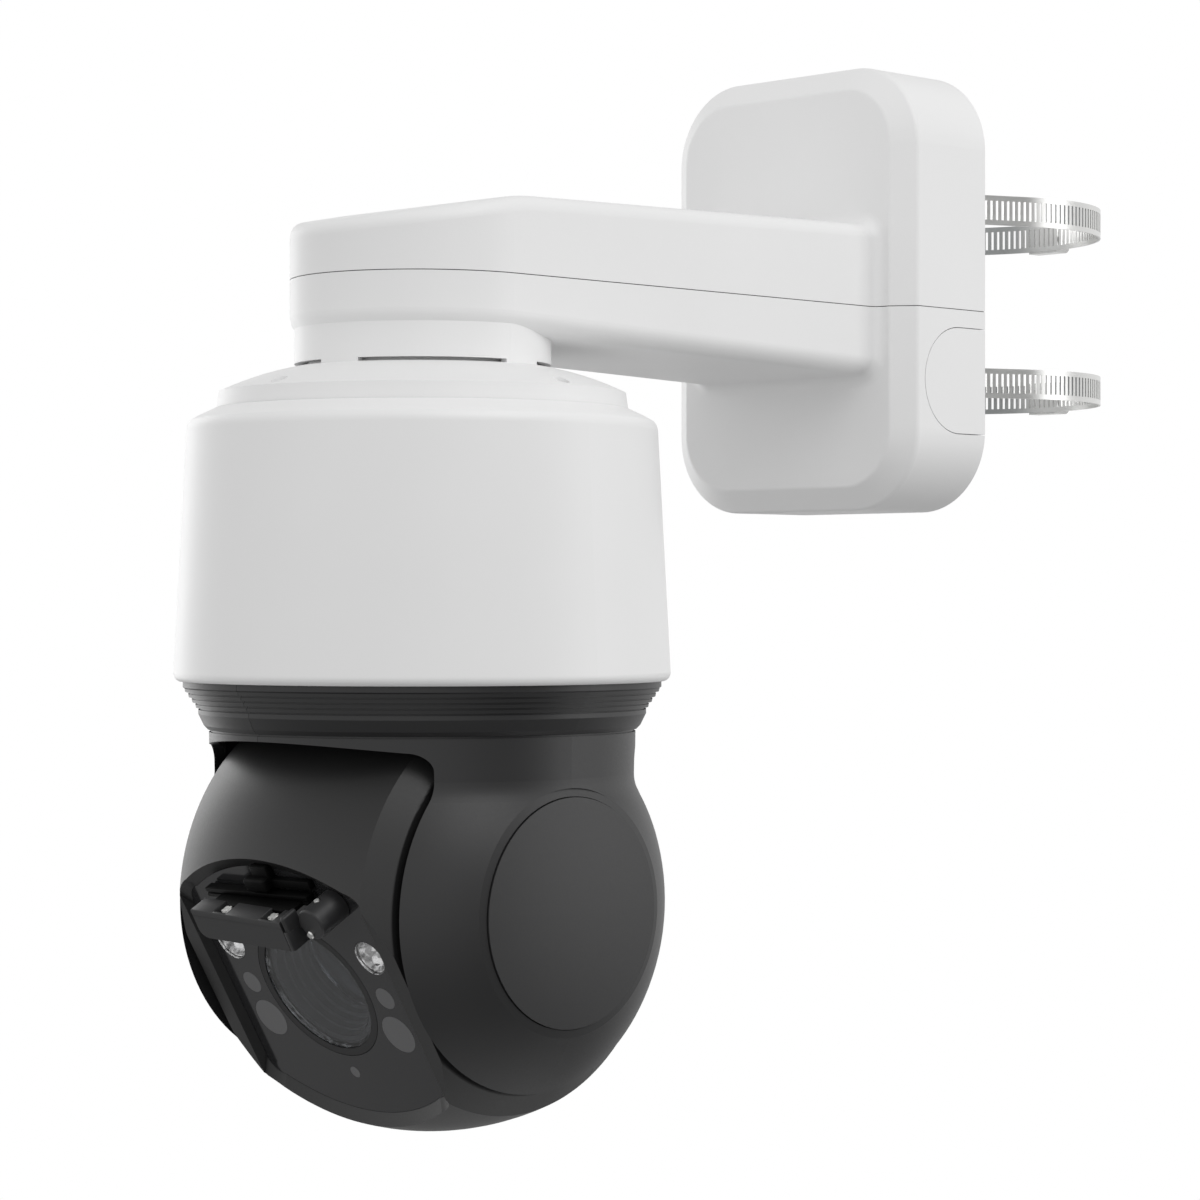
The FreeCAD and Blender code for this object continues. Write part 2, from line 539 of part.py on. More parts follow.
# ---------------------------------------------------------------- fixed camera body
def build_fixed_body():
    dome = (CAP_R + NECK_R) / 2 + 3
    cap = turned([
        (30, 0), (NECK_R, 0), (dome, -CAP_DOME_H / 2, "via"), (CAP_R - 1.1, -CAP_DOME_H),
        (CAP_R, -SHOULDER_H), (CAP_R, -CAP_H), (CAP_R - 5, -CAP_H), (CAP_R - 5, -CAP_DOME_H - 6),
        (NECK_R - 2, -5), (30, -5)])
    for quarter in range(4):
        direction = math.radians(CAP_HOLE_TURN + 90 * quarter)
        r = CAP_R - CAP_HOLE_INSET
        x, y = r * math.cos(direction), r * math.sin(direction)
        cap = cap.cut(rod(CAP_HOLE_R, (x, y, -CAP_DOME_H - 0.5), (x, y, 1)))
    ring = tube(52, 38, (0, 0, 0), (0, 0, 12))
    for third in range(3):
        a = math.radians(120 * third)
        lug = rod(5, (49 * math.cos(a), 49 * math.sin(a), 5), (49 * math.cos(a), 49 * math.sin(a), 13))
        ring = ring.fuse(lug.common(rod(NECK_R - CAST_WALL - 0.6, (0, 0, 0), (0, 0, 20))))
    add("top_cap", at_camera(cap.fuse(ring).removeSplitter(), CAM_TOP))

    inner = SHIELD_WALL
    lip = COLLAR_R + CLEAR
    skirt = turned([
        (CAP_R + FIT, -SHOULDER_H), (SKIRT_TOP_R - 5, -SHOULDER_H - 3.6),
        (SKIRT_TOP_R - 1.5, -SHOULDER_H - 5.6), (SKIRT_TOP_R - 0.3, -SHOULDER_H - 7.4, "via"),
        (SKIRT_TOP_R + 0.3, -SHOULDER_H - 10),
        (SKIRT_R, -SKIRT_H + 4), (SKIRT_R - 0.4, -SKIRT_H + 1.9, "via"), (SKIRT_R - 2.4, -SKIRT_H),
        (lip, -SKIRT_H), (lip, -SKIRT_H + 5), (SKIRT_R - inner - 0.4, -SKIRT_H + 9),
        (SKIRT_TOP_R - inner, -SHOULDER_H - 12), (SKIRT_TOP_R - inner - 3, -SHOULDER_H - 7.5),
        (CAP_R + FIT, -SHOULDER_H - 3)])
    add("sun_shield", at_camera(skirt, CAM_TOP))

    can_bottom = -PLATE_DEPTH
    can = tube(CAN_R, CAN_R - CAN_WALL, (0, 0, can_bottom), (0, 0, -CAP_H - 4))
    can = can.fuse(tube(CAN_R, 78, (0, 0, -CAP_H - 4), (0, 0, -CAP_H)))
    for quarter in range(4):
        a = math.radians(45 + 90 * quarter)
        c = (CAN_R - 2.6)
        pad = rod(2.4, (c * math.cos(a), c * math.sin(a), -CAP_H), (c * math.cos(a), c * math.sin(a), -20))
        can = can.fuse(pad.cut(skirt).Solids[-1] if len(pad.cut(skirt).Solids) == 1
                       else min(pad.cut(skirt).Solids, key=lambda s: s.BoundBox.ZMin))
    add("main_housing", at_camera(can.removeSplitter(), CAM_TOP))

    plate_r = CAN_R - CAN_WALL - 0.1
    chassis = tube(plate_r, BEARING_OUT + RUN, (0, 0, 0), (0, 0, CHASSIS_T))
    boss = tube(BEARING_OUT + 5, BEARING_OUT + RUN, (0, 0, 0), (0, 0, CHASSIS_T + 5))
    chassis = chassis.fuse(boss)
    chassis = chassis.cut(rod(11, (PAN_CENTRES, 0, -1), (PAN_CENTRES, 0, CHASSIS_T + 1)))
    for x, y in board_posts():
        chassis = chassis.fuse(rod(3.5, (x, y, CHASSIS_T - 1), (x, y, BOARD_H)))
    add("chassis_plate", at_camera(chassis.removeSplitter(), CHASSIS_Z))

    board = raised(rounded_rect(60, 60, 20, "XY"), V(0, 0, 1.6)).translated(V(0, 0, BOARD_H))
    board = board.cut(rod(16, (0, 0, BOARD_H - 1), (0, 0, BOARD_H + 3)))
    top = BOARD_H + 1.6
    for low, high in (((22, -30, top), (44, -8, top + 3)), ((-46, 18, top), (-26, 38, top + 2.5)),
                      ((-50, -45, top), (-30, -20, top + 12)), ((18, 24, top), (48, 40, top + 8))):
        board = board.fuse(box(low, high))
    add("main_board", at_camera(board, CHASSIS_Z))

    motor = box((-21, -21, 0), (21, 21, 32))
    upright = [e for e in motor.Edges if e.BoundBox.ZLength > 30]
    motor = motor.makeFillet(4, upright).fuse(rod(10.8, (0, 0, -2), (0, 0, 1)))
    motor = motor.cut(rod(2.5 + RUN, (0, 0, -3), (0, 0, 25)))
    add("pan_motor", at_camera(motor.translated(V(PAN_CENTRES, 0, 0)), CHASSIS_Z + CHASSIS_T))

    track = CHASSIS_T / 2 + 2.5
    torus = Part.makeTorus(BALL_TRACK, BEARING_BALL + RUN, V(0, 0, track))
    outer = tube(BEARING_OUT, BALL_TRACK + 0.9, (0, 0, 0.2), (0, 0, 9.8)).cut(torus)
    add("pan_bearing_outer", at_camera(outer, CHASSIS_Z))
    inner_ring = tube(BALL_TRACK - 0.9, BEARING_BORE, (0, 0, 0.2), (0, 0, 9.8)).cut(torus)
    add("pan_bearing_inner", at_camera(inner_ring, CHASSIS_Z))
    balls = []
    count = 16
    for i in range(count):
        a = 2 * math.pi * i / count
        centre = V(BALL_TRACK * math.cos(a), BALL_TRACK * math.sin(a), track)
        balls.append(Part.makeSphere(BEARING_BALL, centre))
    add("pan_bearing_balls", at_camera(group(balls), CHASSIS_Z))

    stator = tube(13, 9 + RUN, (0, 0, 14), (0, 0, 38)).fuse(rod(13, (0, 0, 38), (0, 0, 40)))
    stator = stator.fuse(box((-22, -3, 34), (22, 3, 37)).cut(rod(9 + RUN, (0, 0, 30), (0, 0, 38))))
    for side in (-1, 1):
        stator = stator.fuse(box((min(side * 19, side * 22), -3, 34), (max(side * 19, side * 22), 3, BOARD_H)))
    add("slip_ring_stator", at_camera(stator, CHASSIS_Z))

    frame_box = box((-20, -20, 0), (20, 20, 10)).cut(rod(18.4, (0, 0, -1), (0, 0, 11)))
    frame_box = frame_box.fuse(rod(9, (0, 0, 0), (0, 0, 2)))
    for quarter in range(4):
        arm = box((0, -1.5, 0), (19, 1.5, 2))
        arm.rotate(V(), Z_AXIS, 90 * quarter + 45)
        frame_box = frame_box.fuse(arm)
    frame_box = frame_box.fuse(rod(1.5, (0, 0, 0), (0, 0, 8)))
    add("fan_frame", at_camera(frame_box.translated(V(*FAN_PLACE, 0)), CHASSIS_Z + CHASSIS_T))
    rotor = rod(9, (0, 0, 2.5), (0, 0, 9.5)).cut(rod(1.5 + RUN, (0, 0, 0), (0, 0, 8.5)))
    for blade in range(7):
        fin = box((8, -0.6, 3), (17.8, 0.6, 9))
        fin.rotate(V(12, 0, 6), X_AXIS, 35)
        fin = fin.common(box((0, -20, 2.6), (20, 20, 9.4)))
        fin.rotate(V(), Z_AXIS, 360.0 * blade / 7)
        rotor = rotor.fuse(fin)
    add("fan_rotor", at_camera(rotor.translated(V(*FAN_PLACE, 0)), CHASSIS_Z + CHASSIS_T))


def board_posts():
    return [(side_x * 48, side_y * 48) for side_x in (-1, 1) for side_y in (-1, 1)]


# ---------------------------------------------------------------- pan drive and yoke
def ball_radius_at(height, inset=0.0):
    return math.sqrt((BALL_R - inset) ** 2 - height ** 2)


def yoke_outside():
    """The yoke's turned outer form about the pan axis, heights from the tilt axis."""
    base = BALL_R - BALL_RISE
    crown_r = CAN_R - 1
    lip_top = base + 3.3
    first_rib = base - 3.3
    points = [(0, CROWN_TOP - TILT_Z), (crown_r, CROWN_TOP - TILT_Z), (crown_r, lip_top),
              (COLLAR_R, lip_top), (COLLAR_R, first_rib + 0.6)]
    radius, height = COLLAR_R - 0.8, first_rib
    for rib in range(RIBS):
        points += [(radius, height), (radius - 0.3, height - 1.5), (radius - 2.2, height - 1.5),
                   (radius - 2.2, height - RIB_PITCH)]
        radius -= RIB_STEP
        height -= RIB_PITCH
    cone_end = base - 21.6
    points += [(radius + 0.3, height), (radius + 0.3, height - 2),
               (YOKE_NECK_R + 2.6, cone_end + 1.8), (YOKE_NECK_R + 0.9, cone_end),
               (YOKE_NECK_R - 0.6, cone_end - 0.2), (YOKE_NECK_R - 0.6, cone_end - 1.1),
               (YOKE_NECK_R + 0.3, cone_end - 1.1)]
    meet = math.sqrt(BALL_R ** 2 - YOKE_NECK_R ** 2)
    points += [(YOKE_NECK_R, meet + 5), (YOKE_NECK_R + 0.45, meet + 0.6, "via"),
               (ball_radius_at(meet - 3.5), meet - 3.5),
               (BALL_R, 0, "via"), (0, -BALL_R)]
    return turned(points)


def opening_profile():
    """Front and rear opening of the yoke, drawn across X and up from the tilt axis."""
    top = BALL_R - BALL_RISE - OPENING_DROP
    half, corner = EAR_IN, OPENING_CORNER
    shoulder = top - OPENING_ARCH
    k = corner * (1 - math.sqrt(0.5))
    wire = outline([
        (-half, -BIG), (half, -BIG), (half, shoulder - corner),
        (half - k, shoulder - k, "via"), (half - corner, shoulder),
        (0, top, "via"), (-half + corner, shoulder),
        (-half + k, shoulder - k, "via"), (-half, shoulder - corner)])
    return raised(wire, V(0, 2 * BIG, 0)).translated(V(0, -BIG, 0))


def yoke_screw_places():
    angles = [2 * math.pi * i / YOKE_SCREWS for i in range(YOKE_SCREWS)]
    return [(YOKE_SCREW_R * math.cos(a), YOKE_SCREW_R * math.sin(a)) for a in angles]


def build_yoke():
    inner_r = YOKE_NECK_R - YOKE_WALL
    crown_under = CROWN_TOP - CROWN_T - TILT_Z
    meet = math.sqrt((BALL_R - YOKE_WALL) ** 2 - inner_r ** 2)
    hollow = turned([(0, crown_under), (inner_r, crown_under), (inner_r, meet),
                     (BALL_R - YOKE_WALL, 0, "via"), (0, -BALL_R + YOKE_WALL)])
    middle = box((-EAR_IN, -BIG, -BIG), (EAR_IN, BIG, BIG))
    ear_slab = box((EAR_IN + EAR_WALL, -BIG, -BIG), (EAR_SEAT, BIG, BIG))
    yoke = yoke_outside().cut(opening_profile())
    yoke = yoke.cut(hollow.common(middle))
    for slab in both_sides(ear_slab):
        yoke = yoke.cut(hollow.common(slab))
    boss = rod(BEARING_R + 4, (EAR_IN, 0, 0), (EAR_IN + EAR_WALL + BEARING_W - 1.5, 0, 0))
    cap_edge = SIDE_CAP_X - SIDE_CAP_T
    ring_r = SIDE_CAP_R + EAR_CHAMFER_W
    chamfer = turned([(ball_radius_at(ring_r), ring_r), (SIDE_CAP_X - EAR_CHAMFER_D, SIDE_CAP_R - 0.1),
                      (BALL_R + 5, SIDE_CAP_R - 0.1), (BALL_R + 5, ring_r)], X_AXIS)
    for side in (0, 1):
        yoke = yoke.fuse(both_sides(boss)[side])
        for tool in (chamfer, rod(SIDE_CAP_R, (cap_edge, 0, 0), (BIG, 0, 0)),
                     rod(SIDE_CAP_R - SEAT_RIM, (EAR_SEAT - 1, 0, 0), (BIG, 0, 0)),
                     rod(TRUNNION_R + 1, (EAR_IN - 1, 0, 0), (EAR_SEAT, 0, 0)),
                     rod(BEARING_R, (EAR_IN + 1, 0, 0), (EAR_SEAT, 0, 0))):
            yoke = yoke.cut(both_sides(tool)[side])
    bore_top = CROWN_TOP - TILT_Z
    yoke = yoke.cut(rod(14, (0, 0, bore_top - CROWN_T - 1), (0, 0, bore_top + 1)))
    screws = []
    for x, y in yoke_screw_places():
        yoke = yoke.cut(rod(2.2, (x, y, bore_top - CROWN_T - 1), (x, y, bore_top + 1)))
        shank = rod(2.0, (x, y, bore_top - CROWN_T), (x, y, bore_top + TABLE_T - 0.5))
        head = rod(3.6, (x, y, bore_top - CROWN_T - 2.4), (x, y, bore_top - CROWN_T))
        screws.append(head.fuse(shank))
    add("yoke_screws", at_tilt(group(screws)))
    for post_y, post_z in motor_posts():
        post = rod(2.6, (EAR_IN + 1, post_y, post_z), (MOTOR_FACE, post_y, post_z))
        yoke = yoke.fuse(post)
    half_gap = 0.1
    right = box((half_gap, -BIG, -BIG), (BIG, BIG, BIG))
    add("yoke_right", at_tilt(largest(yoke.common(right))))
    add("yoke_left", at_tilt(largest(yoke.common(right.mirror(V(), X_AXIS)))))

    r = SIDE_CAP_R - PART_GAP
    cap = domed_disc(r, SIDE_CAP_T, SIDE_CAP_DOME)
    cap.rotate(V(), Y_AXIS, 90)
    cap = cap.translated(V(cap_edge, 0, 0))
    for side, shape in zip(("right", "left"), both_sides(cap)):
        add("side_cap_" + side, at_tilt(shape))

    bearing_end = EAR_IN + 1 + BEARING_W
    race = tube(BEARING_R - RUN, TRUNNION_R + RUN, (EAR_IN + 1, 0, 0), (bearing_end, 0, 0))
    add("tilt_bearings", at_tilt(group(both_sides(race))))


def largest(shape):
    return max(shape.Solids, key=lambda solid: solid.Volume)


def motor_posts():
    return [(-19, 30), (19, 30), (-19, 46), (19, 46)]


def build_pan_drive():
    table = rod(CAN_R - 1, (0, 0, 0), (0, 0, TABLE_T))
    hub_top = CHASSIS_Z - TABLE_TOP + 11
    table = table.fuse(rod(BEARING_BORE, (0, 0, TABLE_T), (0, 0, TABLE_T + hub_top)))
    table = table.cut(rod(14, (0, 0, -1), (0, 0, TABLE_T + 60)))
    for x, y in yoke_screw_places():
        table = table.cut(rod(2.05, (x, y, -1), (x, y, TABLE_T + 1)))
    add("turntable", at_camera(table, CROWN_TOP))
    ring = gear(PAN_MODULE, PAN_TEETH, GEAR_T, 38)
    add("pan_ring_gear", at_camera(ring, TABLE_TOP))
    pinion = gear(PAN_MODULE, PAN_PINION_TEETH, GEAR_T - 0.5, 1, 180 + 180 / PAN_PINION_TEETH)
    pinion = pinion.fuse(rod(2.5, (0, 0, 0), (0, 0, GEAR_T + CHASSIS_T + 18)))
    add("pan_pinion", at_camera(pinion.translated(V(PAN_CENTRES, 0, 0)), TABLE_TOP + 0.5))

    rotor = rod(9, (0, 0, 0), (0, 0, 37.0)).cut(rod(3, (0, 0, -1), (0, 0, 30)))
    rotor = rotor.fuse(tube(13.9, 3, (0, 0, -4), (0, 0, 0)))
    add("slip_ring_rotor", at_camera(rotor, CHASSIS_Z))

    motor = rod(12, (MOTOR_FACE + 1.6, 0, TILT_CENTRES), (EAR_SEAT - CLEAR, 0, TILT_CENTRES))
    plate = box((MOTOR_FACE, -22, 20), (MOTOR_FACE + 1.6, 22, 49))
    plate = plate.cut(rod(TILT_MODULE * TILT_TEETH / 2 + 3.5, (MOTOR_FACE - 1, 0, 0), (MOTOR_FACE + 3, 0, 0)))
    motor = motor.fuse(plate).cut(rod(1.6 + RUN, (MOTOR_FACE - 1, 0, TILT_CENTRES),
                                      (MOTOR_FACE + 6, 0, TILT_CENTRES)))
    add("tilt_motor", at_tilt(motor))
    pinion = gear(TILT_MODULE, TILT_PINION_TEETH, GEAR_W, 1, 270 + 180 / TILT_PINION_TEETH)
    pinion = pinion.fuse(rod(1.6, (0, 0, 0), (0, 0, 9)))
    add("tilt_pinion", at_tilt(along_x(pinion).translated(V(GEAR_X, 0, TILT_CENTRES))))


def along_x(shape):
    """Turn a shape drawn about Z, with Y staying Z, so that its axis is X."""
    laid = shape.copy()
    laid.rotate(V(), Z_AXIS, 90)
    laid.rotate(V(), Y_AXIS, 90)
    return laid


# ---------------------------------------------------------------- head
def head_form(inset):
    """The head's turned form about the tilt axis."""
    r = HEAD_R - inset
    x = HEAD_BAND_X - inset * 0.5
    half = HEAD_HALF_W - inset
    band_r = HEAD_BAND_R - inset
    side_r = HEAD_SIDE_R - inset
    form = turned([(-half, 0), (-half, side_r), (-x, band_r), (0, r, "via"), (x, band_r),
                   (half, side_r), (half, 0)], X_AXIS)
    rims = [e for e in form.Edges if e.BoundBox.XLength < 0.01 and abs(e.BoundBox.XMax) > half - 0.1]
    return form.makeFillet(HEAD_EDGE, rims)


def window_wire(grow_x, grow_u, d):
    """Window outline at distance d from the tilt axis, grown across and up and down."""
    w = WINDOW_HALF_W + grow_x
    h = WINDOW_HALF_H + grow_u
    r = WINDOW_ARC_R + grow_u
    c = WINDOW_CORNER

    def rise(x):
        return h - (r - math.sqrt(r ** 2 - x ** 2))

    corner = rise(w - c)
    low = rise(w) - c * 0.75
    mid_x, mid_u = w - c * 0.24, (corner + low) / 2 + c * 0.26
    wire = outline([
        (-w, -low), (-w, low), (-mid_x, mid_u, "via"), (-w + c, corner), (0, h, "via"),
        (w - c, corner), (mid_x, mid_u, "via"), (w, low), (w, -low), (mid_x, -mid_u, "via"),
        (w - c, -corner), (0, -h, "via"), (-w + c, -corner), (-mid_x, -mid_u, "via")])
    return wire.translated(V(0, -d, 0))


def window_prism(grow, d_low, d_high):
    return raised(window_wire(grow, grow, d_low), V(0, d_low - d_high, 0))


def disc(place, radius, d_low, d_high):
    return rod(radius, hd(place[0], d_low, place[1]), hd(place[0], d_high, place[1]))


def lamp_pair(lamp, shrink, d_low, d_high):
    x, u, r = lamp
    return [disc((side * x, u), r - shrink, d_low, d_high) for side in (1, -1)]


def window_recess():
    """The recess that opens from the window to the head's front."""
    run = FRONT_CUT - WINDOW_D + 8
    outer = window_wire(SIDE_FLARE * run, BROW_FLARE * run, WINDOW_D + run)
    return Part.makeLoft([window_wire(0, 0, WINDOW_D), outer], True, True)


def ahead_of(d):
    """Everything further out than d."""
    return box((-BIG, -BIG, -BIG), (BIG, -d, BIG))


def build_head():
    outer = head_form(0)
    inner = head_form(HEAD_WALL)
    back = WINDOW_D - WINDOW_T
    front_wall = 4.0
    front = outer.common(ahead_of(0)).cut(inner.cut(ahead_of(back - front_wall)))
    front = front.cut(ahead_of(FRONT_CUT))
    front = front.cut(window_recess())
    front = front.cut(window_prism(0.15, back, WINDOW_D + 0.1))
    front = front.cut(window_prism(-LEDGE, back - front_wall - 2, back + 1))
    pass_hole = rod(TRUNNION_R + 0.5, (-BIG, 0, 0), (BIG, 0, 0))
    front = front.cut(pass_hole)
    add("head_front_shell", at_head(front))
    split = 0.2
    rear = outer.cut(inner).cut(ahead_of(-split)).cut(pass_hole)
    add("head_rear_shell", at_head(rear))

    window = window_prism(0, back, WINDOW_D)
    window = window.cut(disc((0, 0), LENS_RING_R, back - 1, WINDOW_D + 1))
    for lamp in (UPPER_LAMP, LOWER_LAMP, SIDE_LAMP):
        window = cut_all(window, lamp_pair(lamp, 0, back - 1, WINDOW_D + 1))
    window = window.cut(disc(LIGHT_SENSOR, LIGHT_SENSOR[2], back - 1, WINDOW_D + 1))
    window = window.cut(disc((WIPER_X, WIPER_U), WIPER_SHAFT_R + RUN, back - 1, WINDOW_D + 1))
    add("window_panel", at_head(window))
    seat = 0.1
    add("upper_lamp_windows", at_head(group(lamp_pair(UPPER_LAMP, seat, back, WINDOW_D))))
    add("lower_lamp_windows", at_head(group(lamp_pair(LOWER_LAMP, seat, back, WINDOW_D))))
    small = lamp_pair(SIDE_LAMP, seat, back, WINDOW_D)
    small.append(disc(LIGHT_SENSOR, LIGHT_SENSOR[2] - seat, back, WINDOW_D))
    add("small_windows", at_head(group(small)))
    ring = disc((0, 0), LENS_RING_R - 0.3, back - 2.5, WINDOW_D)
    ring = ring.cut(disc((0, 0), LENS_GLASS_R + 0.1, back - 1, WINDOW_D + 1))
    ring = ring.cut(disc((0, 0), LENS_GLASS_R - 1.5, back - 4, WINDOW_D + 1))
    add("lens_ring", at_head(ring))
    add("lens_glass", at_head(disc((0, 0), LENS_GLASS_R, back - 1, WINDOW_D - 0.5)))

    barrel_back = -40.0
    barrel_front = back - 2.5
    barrel = disc((0, 0), BARREL_R, barrel_back, barrel_front)
    barrel = barrel.cut(disc((0, 0), BARREL_BORE, barrel_back + 4, barrel_front + 1))
    barrel = barrel.cut(disc((0, 0), 8, barrel_back - 1, barrel_back + 5))
    add("lens_barrel", at_head(barrel))
    sag, thick, rim = 6.0, 8.0, BARREL_BORE - 0.1
    glass = rod(rim, (0, 0, 0), (0, 0, thick - sag)).fuse(domed_disc(rim - 4, thick - sag, sag))
    glass.rotate(V(), X_AXIS, 90)
    add("front_lens_element", at_head(glass.translated(V(*hd(0, 44, 0)))))
    add("zoom_lens_group", at_head(lens_group(0, 12, 20)))
    add("focus_lens_group", at_head(lens_group(-28, 8, 15)))
    board = box(hd(-24, -42, -24), hd(24, -43.6, 24))
    sensor = box(hd(-7, -40.2, -6), hd(7, -42, 6))
    for u in (-19, 19):
        for x in (-19, 19):
            board = board.fuse(rod(2, hd(x, -42, u), hd(x, -40, u)))
    add("sensor_board", at_head(board.fuse(sensor)))

    lamp_board = window_prism(-8, 56, 57.6)
    lamp_board = lamp_board.cut(disc((0, 0), BARREL_R + 1, 50, 60))
    lamp_board = lamp_board.common(box((-BIG, -BIG, -40), (BIG, BIG, 36)))
    for lamp in (UPPER_LAMP, LOWER_LAMP):
        for spot in lamp_pair(lamp, lamp[2] - 2.2, 57.0, 59.2):
            lamp_board = lamp_board.fuse(spot)
    add("lamp_board", at_head(lamp_board))
    cups = []
    for lamp in (UPPER_LAMP, LOWER_LAMP):
        x, u, r = lamp
        length = back - 57.6
        cup = Part.makeCone(3.4, r - 0.6, length).cut(Part.makeCone(2.6, r - 1.4, length))
        cup.rotate(V(), X_AXIS, 90)
        cup = cup.translated(V(*hd(x, 57.6, u)))
        cups += both_sides(cup)
    add("lamp_reflectors", at_head(group(cups)))

    cradle_in, cradle_t = 62.0, 3.0
    floor_u = -38.0
    side_plate = box((cradle_in, -48, floor_u), (cradle_in + cradle_t, 30, 18))
    cradle = box((-cradle_in - cradle_t, -48, floor_u), (cradle_in + cradle_t, 30, floor_u + cradle_t))
    block = box((-14, -44, floor_u + 1), (14, 26, -24)).cut(disc((0, 0), BARREL_R, -60, 80))
    cradle = cradle.fuse(largest(block))
    right_end = GEAR_X + 5.2
    stub = rod(TRUNNION_R, (cradle_in, 0, 0), (right_end, 0, 0))
    for side in (0, 1):
        cradle = cradle.fuse(both_sides(side_plate)[side]).fuse(both_sides(stub)[side])
    cradle = cradle.cut(rod(4.5, (-BIG, 0, 0), (BIG, 0, 0)))
    for u in (-19, 19):
        for x in (-19, 19):
            cradle = cradle.cut(rod(2.2, hd(x, -45, u), hd(x, -39, u)))
    add("head_cradle", at_head(cradle.removeSplitter()))
    wheel = gear(TILT_MODULE, TILT_TEETH, GEAR_W, TRUNNION_R)
    wheel = along_x(wheel).translated(V(GEAR_X, 0, 0))
    add("tilt_gear", at_tilt(wheel))


def lens_group(d, length, glass_r):
    """A lens group that slides in the barrel: a carrier ring and its glass."""
    r = BARREL_BORE - CLEAR
    carrier = disc((0, 0), r, d, d + length).cut(disc((0, 0), glass_r, d - 1, d + length + 1))
    return carrier.fuse(disc((0, 0), glass_r, d + 2, d + length - 2)).removeSplitter()


# ---------------------------------------------------------------- wiper
def build_wiper():
    place = (WIPER_X, WIPER_U)
    back = WINDOW_D - WINDOW_T
    hub = disc(place, HUB_R, WINDOW_D + 0.6, HUB_END)
    rims = [e for e in hub.Edges if e.BoundBox.YMin < -HUB_END + 0.1 and e.BoundBox.YLength < 0.1]
    hub = hub.makeFillet(1.0, rims)
    hub = hub.fuse(disc(place, WIPER_SHAFT_R, back - 12, WINDOW_D + 1))
    rib_d = 81.0
    hub = hub.cut(rod(1.7, hd(WIPER_X, rib_d, WIPER_U + 4), hd(WIPER_X, rib_d, WIPER_U + 9)))
    add("wiper_hub", at_head(hub))
    motor = disc(place, 9.0, 38, back - 4.5).cut(disc(place, WIPER_SHAFT_R + RUN, 56, back))
    add("wiper_motor", at_head(motor))

    low, high = BAR_U
    near, far = BAR_D
    slope = 2.2
    section = outline([(-near, low), (-far + slope, low), (-far, low + slope), (-far, high - slope),
                       (-far + slope, high), (-near, high)], "YZ")
    bar = raised(section, V(BAR_X[1] - BAR_X[0], 0, 0)).translated(V(BAR_X[0], 0, 0))
    cheek = box(hd(BAR_X[1], far - 1, low), hd(BAR_X[1] + 3, near, high - 1))
    cheek = cheek.fuse(box(hd(BAR_X[1], near, low), hd(BAR_X[1] + 3, near - 2, RAIL_U[0] - 1)))
    strap = box(hd(BAR_X[1], near + 2.2, WIPER_U - 2), hd(WIPER_X - HUB_R + 1.5, near, WIPER_U + 2))
    strap = strap.cut(disc(place, HUB_R, WINDOW_D, HUB_END))
    bar = bar.fuse(cheek).fuse(largest(strap))
    for x in screw_spots():
        bar = bar.cut(box(hd(x - 4, far - 1.4, high - 3), hd(x + 4, near + 0.5, high + 1)))
    add("wiper_arm", at_head(bar.removeSplitter()))
    screws = []
    for x in screw_spots():
        head = rod(BAR_SCREW_R, hd(x, (near + far) / 2, high - 3), hd(x, (near + far) / 2, high - 0.8))
        slot = box(hd(x - 1.5, (near + far) / 2 + 0.35, high - 1.7), hd(x + 1.5, (near + far) / 2 - 0.35, high))
        cross = box(hd(x - 0.35, (near + far) / 2 + 1.5, high - 1.7), hd(x + 0.35, (near + far) / 2 - 1.5, high))
        screws.append(head.cut(slot).cut(cross))
    set_screw = rod(1.6, hd(WIPER_X, rib_d, WIPER_U + 4), hd(WIPER_X, rib_d, WIPER_U + 6.9))
    screws.append(set_screw)
    add("wiper_screws", at_head(group(screws)))

    rail_low, rail_high = RAIL_U
    middle = (rail_low + rail_high) / 2
    rail_back, rail_front = RAIL_D
    rail = box(hd(BLADE_X[0], rail_front, rail_low), hd(BLADE_X[1], rail_back, rail_high))
    rail = rail.fuse(box(hd(BAR_X[0] + 2, near, rail_low), hd(BAR_X[1] - 2, rail_front, middle)))
    rail = rail.cut(disc(place, HUB_R + CLEAR, WINDOW_D, HUB_END))
    add("wiper_blade_holder", at_head(rail.removeSplitter()))
    tip_d = WINDOW_D + 0.5
    lip = outline([(-rail_back, middle - 1.0), (-rail_back, middle + 1.0), (-tip_d, middle + 0.3),
                   (-tip_d, middle - 0.3)], "YZ")
    rubber = raised(lip, V(BLADE_X[1] - BLADE_X[0] + 2, 0, 0)).translated(V(BLADE_X[0] - 1, 0, 0))
    add("wiper_rubber", at_head(rubber))
    block = box(hd(STOP_X[0], STOP_D, rail_high + 1.2), hd(STOP_X[1], WINDOW_D + 0.5, WINDOW_HALF_H + 12))
    block = block.common(window_recess()).common(head_form(0.6))
    add("wiper_park_stop", at_head(largest(block)))


def screw_spots():
    return (BAR_X[0] + BAR_SCREW_INSET[0], BAR_X[1] - BAR_SCREW_INSET[1])


# ---------------------------------------------------------------- build and write
def main():
    build_bracket()
    build_mounting()
    build_fixed_body()
    build_pan_drive()
    build_yoke()
    build_head()
    build_wiper()
    os.makedirs("parts", exist_ok=True)
    for name, shape in PARTS.items():
        solids = shape.Solids
        state = "ok" if shape.isValid() and solids else "BAD"
        print(f"{name:24s} {len(solids):3d} solids {shape.Volume / 1000:9.2f} cm3 {state}")
        shape.exportStep(os.path.join("parts", name + ".step"))


main()
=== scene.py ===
# %% [markdown]
# # An outdoor pan-tilt-zoom camera on a bracket arm
# A camera like this hangs under a cast arm, turns about an upright axis and nods about a level one.
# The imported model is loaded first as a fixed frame. Its nodes could be modelled again here, but they already
# have the right shape, so most of them only get their finish. A few small pieces are made new.

